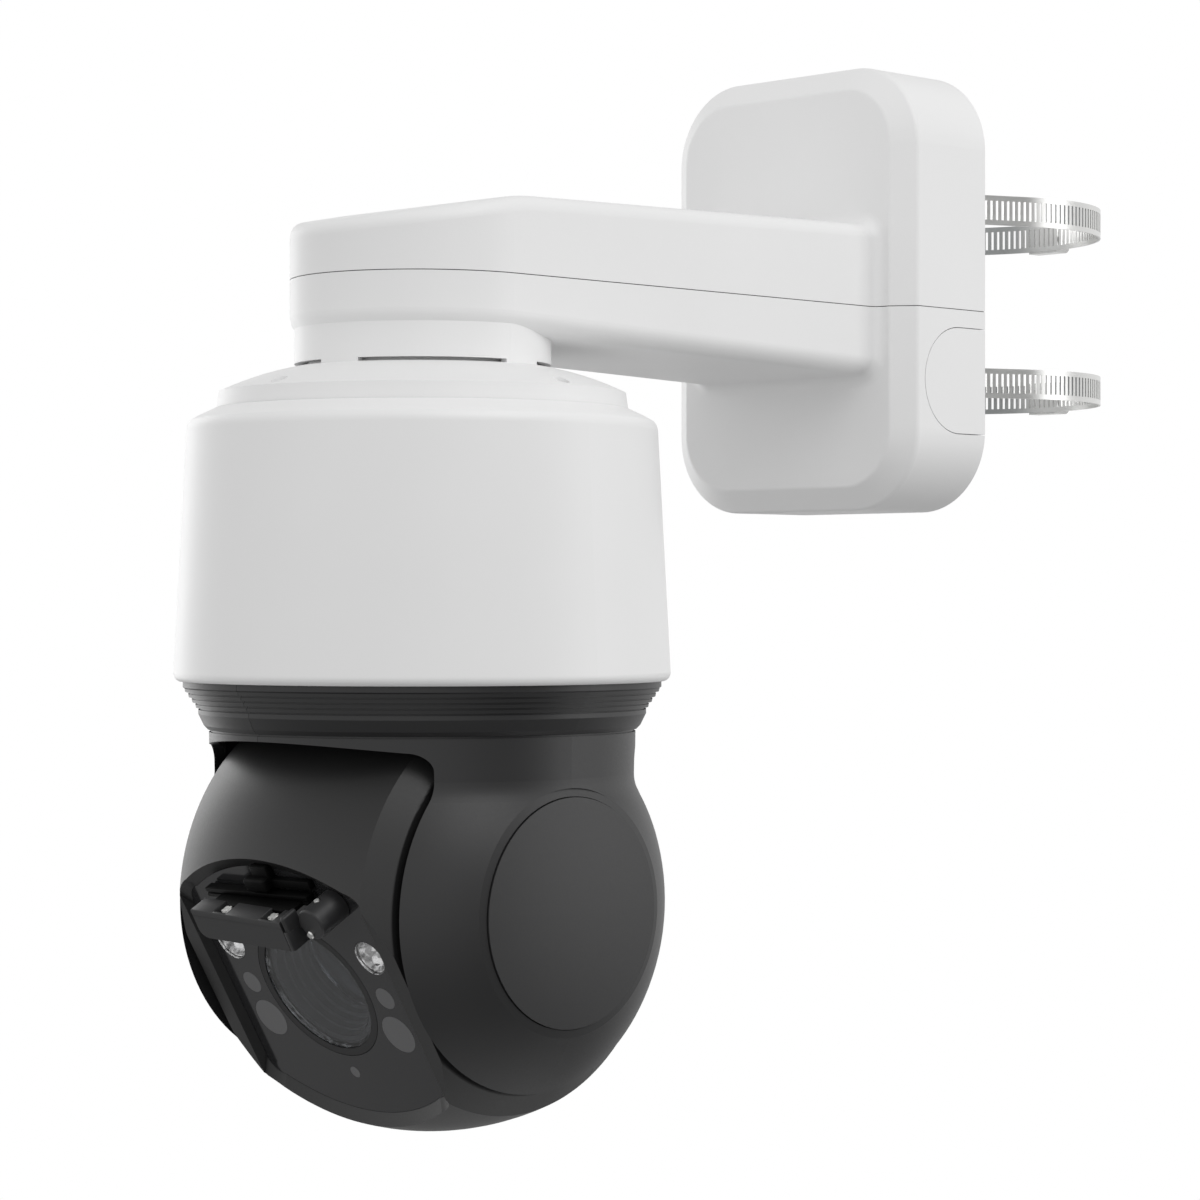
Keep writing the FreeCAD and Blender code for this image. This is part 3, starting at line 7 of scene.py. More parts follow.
# %% Load the frame
import bpy
import bmesh
import json
import math
from mathutils import Matrix, Vector


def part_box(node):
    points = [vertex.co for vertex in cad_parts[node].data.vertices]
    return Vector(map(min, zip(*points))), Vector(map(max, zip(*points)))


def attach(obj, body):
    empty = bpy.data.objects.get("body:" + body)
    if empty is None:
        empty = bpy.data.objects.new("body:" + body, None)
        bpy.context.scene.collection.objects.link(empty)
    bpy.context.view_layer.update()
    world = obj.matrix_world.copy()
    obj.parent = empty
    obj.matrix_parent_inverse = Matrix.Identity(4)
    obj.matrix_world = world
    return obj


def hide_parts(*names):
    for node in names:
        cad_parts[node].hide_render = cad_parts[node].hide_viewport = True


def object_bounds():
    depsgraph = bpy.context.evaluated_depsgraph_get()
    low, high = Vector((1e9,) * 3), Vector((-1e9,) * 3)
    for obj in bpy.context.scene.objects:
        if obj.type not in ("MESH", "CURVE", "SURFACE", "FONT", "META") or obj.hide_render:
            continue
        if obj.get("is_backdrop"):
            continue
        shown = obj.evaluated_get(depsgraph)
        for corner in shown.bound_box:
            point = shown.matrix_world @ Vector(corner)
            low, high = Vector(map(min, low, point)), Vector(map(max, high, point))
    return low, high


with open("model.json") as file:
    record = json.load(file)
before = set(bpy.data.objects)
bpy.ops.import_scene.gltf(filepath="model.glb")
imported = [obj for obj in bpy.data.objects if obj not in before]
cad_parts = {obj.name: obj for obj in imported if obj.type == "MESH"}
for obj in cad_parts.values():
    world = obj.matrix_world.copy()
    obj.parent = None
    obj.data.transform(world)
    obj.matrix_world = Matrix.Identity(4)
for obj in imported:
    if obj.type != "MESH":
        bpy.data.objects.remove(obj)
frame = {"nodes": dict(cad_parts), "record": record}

MM = 0.001
cad_low, cad_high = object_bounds()
scene = bpy.context.scene
nodes = frame["nodes"]
print("cad box", [round(v, 3) for v in cad_low], [round(v, 3) for v in cad_high])

# %% [markdown]
# ## Places worked out from the frame
# The pan axis is the middle of the turntable, and the tilt axis runs through the middle of the side caps.
# The lens looks 30 degrees below the horizontal at rest. New pieces of the head could be typed in with sloping
# coordinates, but it is easier to draw them with a level lens and let one matrix turn them into place.

# %% Axes of the camera
def middle(node):
    """The middle of a node's box."""
    low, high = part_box(node)
    return (low + high) / 2


pan_axis = middle("turntable")
tilt_centre = middle("side_cap_right")
tilt_centre.x = 0.0
tilt_centre.y = pan_axis.y
REST_TILT = math.radians(30)
HEAD = Matrix.Translation(tilt_centre) @ Matrix.Rotation(REST_TILT, 4, "X")
print("tilt axis at", [round(v, 4) for v in tilt_centre])

# %% [markdown]
# ## Camera
# The view is level and stands 45 degrees to the right of the lens direction. A near camera with a short lens
# could frame the same object, but its upright edges would lean. Product pictures are taken from far away with
# a long lens, so that upright edges stay nearly upright.

# %% Make the camera
VIEW_PLACE = (1.1379, -1.3297, -0.1542)
VIEW_TURN = math.radians(45)
LENS_MM = 101.48
SENSOR_MM = 36
FAR_CLIP = 50
camera_data = bpy.data.cameras.new("view_camera")
camera_data.lens = LENS_MM
camera_data.sensor_width = SENSOR_MM
camera_data.clip_end = FAR_CLIP
camera = bpy.data.objects.new("view_camera", camera_data)
camera.location = VIEW_PLACE
camera.rotation_euler = (math.pi / 2, 0, VIEW_TURN)
scene.collection.objects.link(camera)
scene.camera = camera
print("camera at", VIEW_PLACE, "lens", LENS_MM, "mm")

# %% [markdown]
# ## Colour and node helpers
# Colours are written as sRGB hex values, as a paint chart gives them, while the shader wants linear light, so
# one function does that sum. Nodes could be wired by hand in the editor, but a script can be read and rerun.
# Every node is added by one other function, which takes the node's settings, the values of its sockets and
# the links that come into it.

# %% Helpers for colours and nodes
def linear(hex_colour):
    """An sRGB hex colour as linear RGBA."""
    values = [int(hex_colour[i:i + 2], 16) / 255 for i in (1, 3, 5)]
    return tuple(v / 12.92 if v <= 0.04045 else ((v + 0.055) / 1.055) ** 2.4 for v in values) + (1,)


def add_node(tree, kind, settings=None, values=None, links=None):
    """Add a node with its settings, the values of its sockets and the links into it."""
    node = tree.nodes.new(kind)
    for key, value in (settings or {}).items():
        setattr(node, key, value)
    for socket, value in (values or {}).items():
        node.inputs[socket].default_value = value
    for socket, source in (links or {}).items():
        tree.links.new(source, node.inputs[socket])
    return node


print("a white paint is", [round(v, 3) for v in linear("#EDEDED")])

# %% [markdown]
# ## Studio
# A pale floor and a white room give the soft light of a product picture. The room could be built from many
# lamps, but a world that is bright all round does the same with less noise. It is darker below, a little
# darker above, and darkest towards a black flag at the right, as in a real studio, because an even room would
# leave the black parts without shape. The view itself sees plain white behind the camera.

# %% Shades of the room
ROOM_LIGHT = 1.03
FLAG_LIGHT = 0.25
LOW_LIGHT = 0.26
HIGH_LIGHT = 0.6
FLAG_TURN = math.radians(18)
FLAG_WAY = (math.cos(FLAG_TURN), math.sin(FLAG_TURN), -0.1)
# how directly a ray meets the flag where its shade starts, and where it is full
FLAG_EDGE = (0.62, 0.97)
# how steeply a ray points down or up where the darker floor and ceiling start and end
LOW_EDGE = (-0.75, 0.1)
HIGH_EDGE = (0.15, 0.6)
print("room light", ROOM_LIGHT, "flag", FLAG_LIGHT, "below", LOW_LIGHT, "above", HIGH_LIGHT)

# %% Room light
scene.view_settings.view_transform = "Standard"
world = bpy.data.worlds.new("studio_room")
scene.world = world
world.use_nodes = True
room = world.node_tree
background = room.nodes["Background"]
background.inputs["Color"].default_value = linear("#FFFFFF")
SMOOTH = {"interpolation_type": "SMOOTHSTEP"}
facing = add_node(room, "ShaderNodeTexCoord")
toward = add_node(room, "ShaderNodeVectorMath", {"operation": "DOT_PRODUCT"}, {1: FLAG_WAY},
                  {0: facing.outputs["Generated"]})
flag = add_node(room, "ShaderNodeMapRange", SMOOTH,
                {"From Min": FLAG_EDGE[0], "From Max": FLAG_EDGE[1],
                 "To Min": ROOM_LIGHT, "To Max": FLAG_LIGHT},
                {"Value": toward.outputs["Value"]})
upright = add_node(room, "ShaderNodeSeparateXYZ", None, None, {0: facing.outputs["Generated"]})
below = add_node(room, "ShaderNodeMapRange", SMOOTH,
                 {"From Min": LOW_EDGE[0], "From Max": LOW_EDGE[1], "To Min": LOW_LIGHT, "To Max": 1.0},
                 {"Value": upright.outputs["Z"]})
above = add_node(room, "ShaderNodeMapRange", SMOOTH,
                 {"From Min": HIGH_EDGE[0], "From Max": HIGH_EDGE[1], "To Min": 1.0, "To Max": HIGH_LIGHT},
                 {"Value": upright.outputs["Z"]})
flag_and_below = add_node(room, "ShaderNodeMath", {"operation": "MULTIPLY"}, None,
                          {0: flag.outputs["Result"], 1: below.outputs["Result"]})
lit = add_node(room, "ShaderNodeMath", {"operation": "MULTIPLY"}, None,
               {0: flag_and_below.outputs["Value"], 1: above.outputs["Result"]})
seen = add_node(room, "ShaderNodeLightPath")
level = add_node(room, "ShaderNodeMix", None, {3: 1.0},
                 {0: seen.outputs["Is Camera Ray"], 2: lit.outputs["Value"]})
room.links.new(level.outputs[0], background.inputs["Strength"])
print("room nodes", len(room.nodes))

# %% [markdown]
# ## Mesh helpers
# Each new piece is a bmesh that operators shape. When it is done it becomes an object at the origin, with its
# place in its mesh, and its edges sharper than a given angle stay crisp while the rest is shaded smooth. Sizes
# are in millimetres of the level head: across, out of the lens, and up.

# %% Helper for a finished piece
def finish_piece(name, bm, finish, body=None, place=None, crisp=35):
    """Turn a bmesh into a finished object with its material and body."""
    bmesh.ops.recalc_face_normals(bm, faces=bm.faces)
    if place is not None:
        bmesh.ops.transform(bm, matrix=place, verts=bm.verts)
    mesh = bpy.data.meshes.new(name)
    bm.to_mesh(mesh)
    bm.free()
    piece = bpy.data.objects.new(name, mesh)
    scene.collection.objects.link(piece)
    mesh.materials.append(finish)
    mesh.shade_smooth()
    mesh.set_sharp_from_angle(angle=math.radians(crisp))
    if body:
        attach(piece, body)
    return piece


print("nodes in the frame", len(nodes))


# %% Helpers for blocks and turned shapes
def edges_of(verts):
    """Every edge that meets one of these vertices."""
    return list({edge for vert in verts for edge in vert.link_edges})


def soften(bm, edges, width_mm, segments=2):
    """Round some edges."""
    bmesh.ops.bevel(bm, geom=edges, offset=width_mm * MM, affect="EDGES", segments=segments, profile=0.5,
                    material=-1, clamp_overlap=True)


def block(bm, low, high):
    """Add a box between two corners."""
    centre = [(a + b) / 2 * MM for a, b in zip(low, high)]
    size = [abs(b - a) * MM for a, b in zip(low, high)]
    made = bmesh.ops.create_cube(bm, size=1.0)["verts"]
    bmesh.ops.scale(bm, verts=made, vec=size)
    bmesh.ops.translate(bm, verts=made, vec=(centre[0], -centre[1], centre[2]))
    return made


def rounded_block(bm, corners, width_mm, segments=2):
    """Add a box between two corners, with all its edges rounded."""
    soften(bm, edges_of(block(bm, *corners)), width_mm, segments)


def lathe(bm, profile, segments, centre=(0, 0)):
    """Spin (radius, out) points about the lens direction through a place on the head."""
    x, u = centre
    ring = [bm.verts.new(((x + r) * MM, -d * MM, u * MM)) for r, d in profile]
    edges = [bm.edges.new(pair) for pair in zip(ring, ring[1:])]
    bmesh.ops.spin(bm, geom=ring + edges, cent=(x * MM, 0, u * MM), axis=(0, 1, 0), angle=2 * math.pi,
                   steps=segments, use_merge=True, use_duplicate=False)
    bmesh.ops.remove_doubles(bm, verts=bm.verts, dist=0.001 * MM)


print("helpers ready")

# %% [markdown]
# ## Studio floor
# A plain pale board lies well under the camera. An endless sweep of paper could fill the whole picture, but it
# would throw its own light up into the window. The board is small enough to stay below the main picture, so
# that the room's white runs behind the whole camera without a horizon.

# %% Floor
FLOOR_DROP = 0.90
FLOOR_SIZE = 0.6
paper = bpy.data.materials.new("seamless_paper_floor")
paper.use_nodes = True
paper_shader = paper.node_tree.nodes["Principled BSDF"]
paper_shader.inputs["Base Color"].default_value = linear("#DEDEDE")
paper_shader.inputs["Roughness"].default_value = 0.9
bm = bmesh.new()
bmesh.ops.create_grid(bm, x_segments=2, y_segments=2, size=FLOOR_SIZE)
bmesh.ops.translate(bm, verts=bm.verts, vec=(0, 0, cad_low.z - FLOOR_DROP))
floor = finish_piece("studio_floor", bm, paper)
floor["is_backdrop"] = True
print("floor at", round(cad_low.z - FLOOR_DROP, 3))

# %% [markdown]
# ## Soft lamps
# Three large soft boxes: a high one that lights the white covers, and a level one on each side that draws
# the bright edges of the ball. Small lamps would leave hard shadows that a product picture doesn't have.

# %% Lamps
# name, place and size in metres, power in watts
SOFT_BOXES = (("soft_box_high_right", (1.5, -0.5, 1.3), (1.4, 1.4), 14),
              ("soft_box_right", (1.5, 1.0, 0.1), (0.8, 1.6), 9),
              ("soft_box_left", (-1.9, -0.1, 0.0), (0.8, 1.6), 9))
for name, spot, size, power in SOFT_BOXES:
    data = bpy.data.lights.new(name, "AREA")
    data.shape = "RECTANGLE"
    data.size, data.size_y = size
    data.energy = power
    lamp = bpy.data.objects.new(name, data)
    lamp.location = spot
    lamp.rotation_mode = "QUATERNION"
    lamp.rotation_quaternion = (pan_axis - Vector(spot)).to_track_quat("-Z", "Y")
    scene.collection.objects.link(lamp)
    print(name, power, "W")

# %% [markdown]
# ## Finishes with a grain
# Powder coat, moulded plastic, cast metal and rubber look different mostly in how rough they are and in the
# size of their grain. Each of them could have its own node tree, but one recipe with a few numbers serves:
# a slow cloud that varies the colour, a fine grain that varies the roughness, and a bump from the same grain.
# Real grain is often finer than the picture can show, so it is drawn as coarse as it needs to show.

# %% The grained finish
CLOUD_MM = 60.0
CLOUD_DETAIL = 3.0
GRAIN_DETAIL = 2.0


def grained(name, dark, pale, grain_mm, rough, bump_mm, stretch=(1, 1, 1), **sockets):
    """A material with a colour cloud, and a grain of a given size in its roughness and bump."""
    material = bpy.data.materials.new(name)
    material.use_nodes = True
    tree = material.node_tree
    shader = tree.nodes["Principled BSDF"]
    place = add_node(tree, "ShaderNodeTexCoord")
    laid = add_node(tree, "ShaderNodeMapping", None, {"Scale": stretch}, {"Vector": place.outputs["Object"]})
    cloud = add_node(tree, "ShaderNodeTexNoise", None, {"Scale": 1 / (CLOUD_MM * MM), "Detail": CLOUD_DETAIL},
                     {"Vector": place.outputs["Object"]})
    grain = add_node(tree, "ShaderNodeTexNoise", None, {"Scale": 1 / (grain_mm * MM), "Detail": GRAIN_DETAIL},
                     {"Vector": laid.outputs["Vector"]})
    colour = add_node(tree, "ShaderNodeMix", {"data_type": "RGBA"}, {6: linear(dark), 7: linear(pale)},
                      {0: cloud.outputs["Fac"]})
    gloss = add_node(tree, "ShaderNodeMapRange", None, {"To Min": rough[0], "To Max": rough[1]},
                     {"Value": grain.outputs["Fac"]})
    bump = add_node(tree, "ShaderNodeBump", None, {"Strength": 1.0, "Distance": bump_mm * MM},
                    {"Height": grain.outputs["Fac"]})
    tree.links.new(colour.outputs[2], shader.inputs["Base Color"])
    tree.links.new(gloss.outputs["Result"], shader.inputs["Roughness"])
    tree.links.new(bump.outputs["Normal"], shader.inputs["Normal"])
    for socket, value in sockets.items():
        shader.inputs[socket.replace("_", " ")].default_value = value
    return material


FINISH = {}
print("cloud size", CLOUD_MM, "mm")

# %% [markdown]
# ## White castings and white plastic
# The arm, the box and the cap are die castings with a polyester powder coat, which has a faint orange peel.
# The sun shield is moulded ASA, a plastic that keeps its white in the sun, with a very fine spark texture.
# One white for both could do, but the two differ a little in tone and gloss where they meet at the cap.

# %% White finishes
# powder coat over die casting: satin, with orange peel of about 1.6 mm that breaks up the highlights
FINISH["white_casting"] = grained("powder_coated_casting", "#E6E6E6", "#EAEAEA", 1.6, (0.42, 0.54), 0.02)
# moulded ASA: an even satin white, real texture near 0.2 mm, drawn at 1.2 mm so that it shows
FINISH["white_plastic"] = grained("moulded_asa", "#E8E8E8", "#ECECEC", 1.2, (0.40, 0.50), 0.012)
print(sorted(FINISH))

# %% [markdown]
# ## Black plastics
# The yoke and the head are polycarbonate moulded in a spark-eroded tool. Plain black paint could be used, but
# the matt texture spreads the reflection of the white room over the whole ball, which is why black parts here
# never look fully black.

# %% Black finishes
# moulded polycarbonate: charcoal with a broad soft sheen, texture near 0.3 mm drawn at 1 mm
FINISH["black_plastic"] = grained("textured_polycarbonate", "#161617", "#1A1A1B", 1.0, (0.42, 0.52), 0.014,
                                  IOR=1.55)
FINISH["black_head_shell"] = grained("head_polycarbonate", "#151516", "#191919", 1.0, (0.42, 0.52), 0.014,
                                     IOR=1.55)
# glass-filled nylon inside the camera: duller and a little patchy
FINISH["inner_plastic"] = grained("glass_filled_nylon", "#1C1C1D", "#262627", 1.4, (0.55, 0.68), 0.02)
# matt coat of the lens parts: nearly no gloss
FINISH["lens_black"] = grained("matt_lens_black", "#101011", "#151516", 0.8, (0.48, 0.60), 0.01)
# acetal: a black plastic, its colour darkened further to near black as painted shade for the little light under
# the brow, and with hardly any shine
FINISH["wiper_plastic"] = grained("acetal_with_painted_brow_shade", "#030303", "#060606", 1.0, (0.50, 0.62), 0.01,
                                  Specular_IOR_Level=0.1)
# fine black coat on the wiper's die casting: gives it a soft grey face
FINISH["wiper_metal"] = grained("coated_wiper_casting", "#222223", "#272728", 0.9, (0.42, 0.52), 0.012)
# baked paint on a motor's steel case: smoother than plastic
FINISH["motor_case"] = grained("painted_motor_case", "#222224", "#2C2C2E", 2.0, (0.35, 0.48), 0.01)
print(len(FINISH), "finishes so far")

# %% [markdown]
# ## Rubbers
# The wiper's lip and the gaskets are rubber, which is dull and slightly dusty. A plain dark colour with full
# roughness could do, but a faint grain keeps it from looking like a hole in the picture.

# %% Rubber finishes
# EPDM: a black lip with next to no shine
FINISH["wiper_rubber"] = grained("epdm_wiper_lip", "#060606", "#090909", 1.2, (0.70, 0.85), 0.02,
                                 Specular_IOR_Level=0.2)
# silicone: a grey line between the white castings
FINISH["seal_rubber"] = grained("silicone_seal", "#3A3A3B", "#444445", 1.5, (0.60, 0.75), 0.02)
print(len(FINISH), "finishes so far")

# %% [markdown]
# ## Metals
# A metal has no colour of its own under its shine, so its look comes from the marks of how it was made. Each
# mark could be drawn, but at this distance a grain is enough. Ground and rolled parts have it stretched along
# one direction, and a cast part has it even.

# %% Metal finishes
# turned and passivated stainless steel, seen on screw heads: bright, with dark reflections
FINISH["stainless"] = grained("passivated_stainless", "#C9C9C8", "#D8D8D6", 0.8, (0.18, 0.30), 0.004,
                              Metallic=1.0)
# tumbled screws: duller and paler, so that they shine from every side
FINISH["tumbled_screw"] = grained("tumbled_stainless", "#EFEFED", "#FAFAF8", 0.8, (0.42, 0.58), 0.004,
                                  Metallic=1.0)
# rolled strip: the rolling marks run along the band, so the grain is stretched in the level directions
FINISH["stainless_band"] = grained("rolled_stainless_strip", "#CDCDCC", "#DADAD8", 1.2, (0.26, 0.38), 0.004,
                                   stretch=(0.08, 0.08, 1.0), Metallic=1.0)
# zinc on steel: pale bluish grey, with patches
FINISH["plated_steel"] = grained("zinc_plated_steel", "#A9ADAF", "#BBBEC0", 5.0, (0.30, 0.50), 0.006,
                                 Metallic=1.0)
# bead-blasted aluminium: a frosty grey without streaks
FINISH["cast_aluminium"] = grained("bead_blasted_aluminium", "#A8A8AA", "#B6B6B8", 1.5, (0.45, 0.60), 0.03,
                                   Metallic=1.0)
# ground bearing steel: nearly polished, with fine upright streaks
FINISH["bearing_steel"] = grained("ground_bearing_steel", "#B9B9BA", "#C6C6C7", 0.8, (0.12, 0.22), 0.002,
                                  stretch=(1, 1, 0.1), Metallic=1.0)
# hobbed brass: warm yellow flanks on the gears
FINISH["gear_brass"] = grained("hobbed_brass", "#C3A25A", "#D0B068", 0.9, (0.22, 0.34), 0.004, Metallic=1.0)
# aluminium vapour on a moulded cup: almost a mirror
FINISH["mirror_reflector"] = grained("vapour_coated_reflector", "#E4E4E5", "#F0F0F0", 3.0, (0.10, 0.20), 0.01,
                                     Metallic=1.0)
print(len(FINISH), "finishes so far")

# %% [markdown]
# ## Glass and windows
# The front window is smoked polycarbonate with a hard coat: from outside it is a dark grey mirror. It could be
# made see-through, but so little light comes back out that an opaque polished sheet looks the same. The clear
# windows over the bright lamps do let the reflectors show, and so does the coated lens glass.

# %% Clear and dark windows
# smoked and hard-coated polycarbonate: near black, polished
FINISH["dark_window"] = grained("smoked_window", "#232324", "#262627", 30.0, (0.10, 0.14), 0.001, IOR=1.58)
# filter windows over the lower lamps: a lighter smoke
FINISH["tinted_window"] = grained("filter_window", "#545455", "#5C5C5D", 20.0, (0.10, 0.16), 0.001, IOR=1.58)
# clear polycarbonate over the bright lamps: only its gloss shows
FINISH["clear_window"] = grained("clear_polycarbonate", "#F4F4F4", "#FBFBFB", 30.0, (0.02, 0.05), 0.0005,
                                 IOR=1.5, Transmission_Weight=1.0)
# coated lens glass: clear with a cold tinge
FINISH["lens_glass"] = grained("coated_lens_glass", "#E4E8EE", "#EEF0F4", 30.0, (0.01, 0.03), 0.0003,
                               IOR=1.5, Transmission_Weight=1.0)
print(len(FINISH), "finishes so far")

# %% [markdown]
# ## Circuit boards
# The boards inside are green solder mask over copper tracks. Tracks could be drawn one by one, but nobody sees
# them closely, and a blocky pattern of cells suggests them: pale over copper, dark between.

# %% Circuit board finish
TRACK_MM = 2.5
TRACK_EDGE = (0.35, 0.45)
board = grained("solder_mask_board", "#123A20", "#184A2A", 1.0, (0.30, 0.42), 0.01)
tree = board.node_tree
place = add_node(tree, "ShaderNodeTexCoord")
tracks = add_node(tree, "ShaderNodeTexVoronoi", {"distance": "CHEBYCHEV"}, {"Scale": 1 / (TRACK_MM * MM)},
                  {"Vector": place.outputs["Object"]})
edge = add_node(tree, "ShaderNodeMapRange", None, {"From Min": TRACK_EDGE[0], "From Max": TRACK_EDGE[1]},
                {"Value": tracks.outputs["Distance"]})
mask = add_node(tree, "ShaderNodeMix", {"data_type": "RGBA"}, {6: linear("#1C5430"), 7: linear("#0E3019")},
                {0: edge.outputs["Result"]})
tree.links.new(mask.outputs[2], tree.nodes["Principled BSDF"].inputs["Base Color"])
FINISH["circuit_board"] = board
print("finishes", len(FINISH))

# %% [markdown]
# ## Finishes on the nodes
# Each node of the frame takes one of these finishes. They could be typed node by node, but the record already
# says which material slot each node takes, so the finish is looked up there.

# %% Give each node its finish
slots = {part["node"]: part["material_slot"] for part in frame["record"]["subparts"]}
for name, node in nodes.items():
    node.data.materials.clear()
    node.data.materials.append(FINISH[slots[name]])
print(len(slots), "nodes finished")

# %% [markdown]
# ## Perforated pole bands
# Each band is a stainless strip with slots that the worm screw bites into. It runs across the plate, straight
# to the pole and round it. Slots could be cut from a bent band with booleans, but that is slow and leaves poor
# faces, so the strip is drawn flat first and laid along its path afterwards. The path is worked out here: the
# straight part leaves the plate's edge and touches the pole's circle.

# %% Sizes of a band
BAND_W = 15.0
BAND_T = 1.0
PITCH = 3.2
SLOT_LONG = 9.8
SLOT_WIDE = 1.3
POLE_R = 75.0
BAND_IN = POLE_R + 0.05
PLATE_X = 46.0
PLATE_Y = -8.0

pole = Vector((0, POLE_R))
turn = Vector((PLATE_X, PLATE_Y))
reach = turn - pole
swing = math.acos(BAND_IN / reach.length)
touch_angle = math.atan2(reach.y, reach.x) + swing
touch = pole + BAND_IN * Vector((math.cos(touch_angle), math.sin(touch_angle)))
straight = (touch - turn).length
bent = BAND_IN * (math.pi - 2 * touch_angle)
length = 2 * PLATE_X + 2 * straight + bent
cells = round(length / PITCH)
step = length / cells
print("band length", round(length, 1), "mm in", cells, "cells")


# %% Path of a band
def band_place(run):
    """Point and outward direction of the band at a distance along it, from its middle on the plate."""
    if run <= PLATE_X:
        return Vector((run, PLATE_Y)), Vector((0, -1))
    along = run - PLATE_X
    if along <= straight:
        way = (touch - turn).normalized()
        return turn + way * along, Vector((way.y, -way.x))
    angle = touch_angle + (along - straight) / BAND_IN
    out = Vector((math.cos(angle), math.sin(angle)))
    return pole + out * BAND_IN, out


print("band leaves the plate for", round(straight, 1), "mm and bends over", round(bent, 1), "mm")

# %% [markdown]
# ## Strip with slots
# One cell of the strip is a frame round one slot: a grid of nine faces with its middle face taken out. Copies
# of it make the flat strip. Then each corner is moved to its place on the path, on the right side for the
# first half and mirrored for the second, and solidify gives the strip its thickness.

# %% Slotted strip
SAME_MM = 0.01


def slotted_strip():
    """A flat strip of cells, in millimetres, as a bmesh."""
    bm = bmesh.new()
    grid = bmesh.ops.create_grid(bm, x_segments=3, y_segments=3, size=0.5)["verts"]
    columns = sorted({round(v.co.x, 4) for v in grid})
    rows = sorted({round(v.co.y, 4) for v in grid})
    at_x = dict(zip(columns, (0, (step - SLOT_WIDE) / 2, (step + SLOT_WIDE) / 2, step)))
    at_y = dict(zip(rows, (-BAND_W / 2, -SLOT_LONG / 2, SLOT_LONG / 2, BAND_W / 2)))
    for v in grid:
        v.co = Vector((at_x[round(v.co.x, 4)], at_y[round(v.co.y, 4)], 0))
    hole = [f for f in bm.faces if abs(f.calc_center_median().x - step / 2) < SAME_MM
            and abs(f.calc_center_median().y) < SAME_MM]
    bmesh.ops.delete(bm, geom=hole, context="FACES")
    cell = bm.verts[:] + bm.edges[:] + bm.faces[:]
    for i in range(1, cells):
        copy = bmesh.ops.duplicate(bm, geom=cell)["geom"]
        moved = [g for g in copy if isinstance(g, bmesh.types.BMVert)]
        bmesh.ops.translate(bm, verts=moved, vec=(step * i, 0, 0))
    return bm


print("cell", round(step, 3), "x", BAND_W, "mm")

# %% Both bands
MERGE_MM = 0.05
half_length = length / 2
for name in ("band_upper", "band_lower"):
    height = middle(name).z / MM
    bm = slotted_strip()
    for v in bm.verts:
        first = v.co.x <= half_length
        spot, out = band_place(v.co.x if first else length - v.co.x)
        spot = spot + out * BAND_T / 2
        v.co = Vector(((1 if first else -1) * spot.x * MM, spot.y * MM, (height + v.co.y) * MM))
    bmesh.ops.remove_doubles(bm, verts=bm.verts, dist=MERGE_MM * MM)
    bmesh.ops.recalc_face_normals(bm, faces=bm.faces)
    bmesh.ops.solidify(bm, geom=bm.faces[:], thickness=-BAND_T * MM)
    band = finish_piece(name + "_slotted", bm, FINISH["stainless_band"], "bracket")
    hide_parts(name)
    print(name, len(band.data.polygons), "faces")

# %% [markdown]
# ## Reflector cups of the lamps
# The upper lamps shine through clear windows, and what shows is a moulded reflector with facets like a cut
# gem. A cone with a texture could suggest them, but real facets catch the room light piece by piece. A lathe
# profile with few steps is spun, and alternate corners are pushed in, with flat shading.

# %% Faceted cups
LAMP_X = 47.0
LAMP_U = 21.0
FACETS = 12
CUP_RINGS = ((7.9, 68.7), (6.0, 66.6), (3.9, 65.2), (2.0, 64.6), (0.001, 66.4))
FACET_RADII = (1.0, 7.5)
FACET_PUSH = 0.9
for side, label in ((1, "right"), (-1, "left")):
    bm = bmesh.new()
    lathe(bm, CUP_RINGS, FACETS, (side * LAMP_X, LAMP_U))
    for v in bm.verts:
        up = v.co.z - LAMP_U * MM
        across = v.co.x - side * LAMP_X * MM
        corner = round(math.atan2(up, across) / (2 * math.pi / FACETS))
        if FACET_RADII[0] * MM < math.hypot(up, across) < FACET_RADII[1] * MM and corner % 2:
            v.co.y += FACET_PUSH * MM
    cup = finish_piece("lamp_cup_" + label, bm, FINISH["mirror_reflector"], "head",
                       HEAD, crisp=5)
    print(cup.name, len(cup.data.polygons), "facets")

# %% [markdown]
# ## Inside of the lens
# Behind the flat glass sit stepped rings that stop stray light. Rings could be stacked one by one, but a single
# spun profile has no gaps. Its steps get narrower away from the glass, and they draw the thin arcs inside the
# round opening.

# %% Stepped rings in the lens
LENS_STEPS = ((26.8, 66.0), (26.8, 63.0), (25.4, 62.4), (25.4, 59.5), (24.0, 59.0), (24.0, 56.0),
              (22.4, 55.4), (22.4, 52.5), (21.2, 52.0), (21.2, 50.6), (26.4, 50.6), (26.4, 66.0))
ROUND_STEPS = 96
bm = bmesh.new()
lathe(bm, LENS_STEPS, ROUND_STEPS)
steps = finish_piece("lens_step_rings", bm, FINISH["lens_black"], "head", HEAD, crisp=30)
print(steps.name, len(steps.data.polygons), "faces")

# %% [markdown]
# ## Wiper arm
# The wiper's housing is a die casting with two pockets for cross-head screws. One mesh could be cut out of a
# block, but overlapping blocks with bevels keep every face flat and every edge clean: a low bar, and on top of
# it full-depth caps with thin lips between them, which leave the two pockets open.

# %% Bar with two pockets
BAR_X = (-30.0, 29.0)
BAR_U = (39.5, 54.0)
BAR_D = (85.0, 94.6)
SCREW_X = (BAR_X[0] + 18.5, BAR_X[1] - 10.0)
POCKET_W = 8.4
POCKET_H = 3.2
POCKET_LIP = 1.5
JOIN = 0.2
LOW_ROUND = 5.0
TOP_ROUND = 0.4
NEAR_MM = 0.1

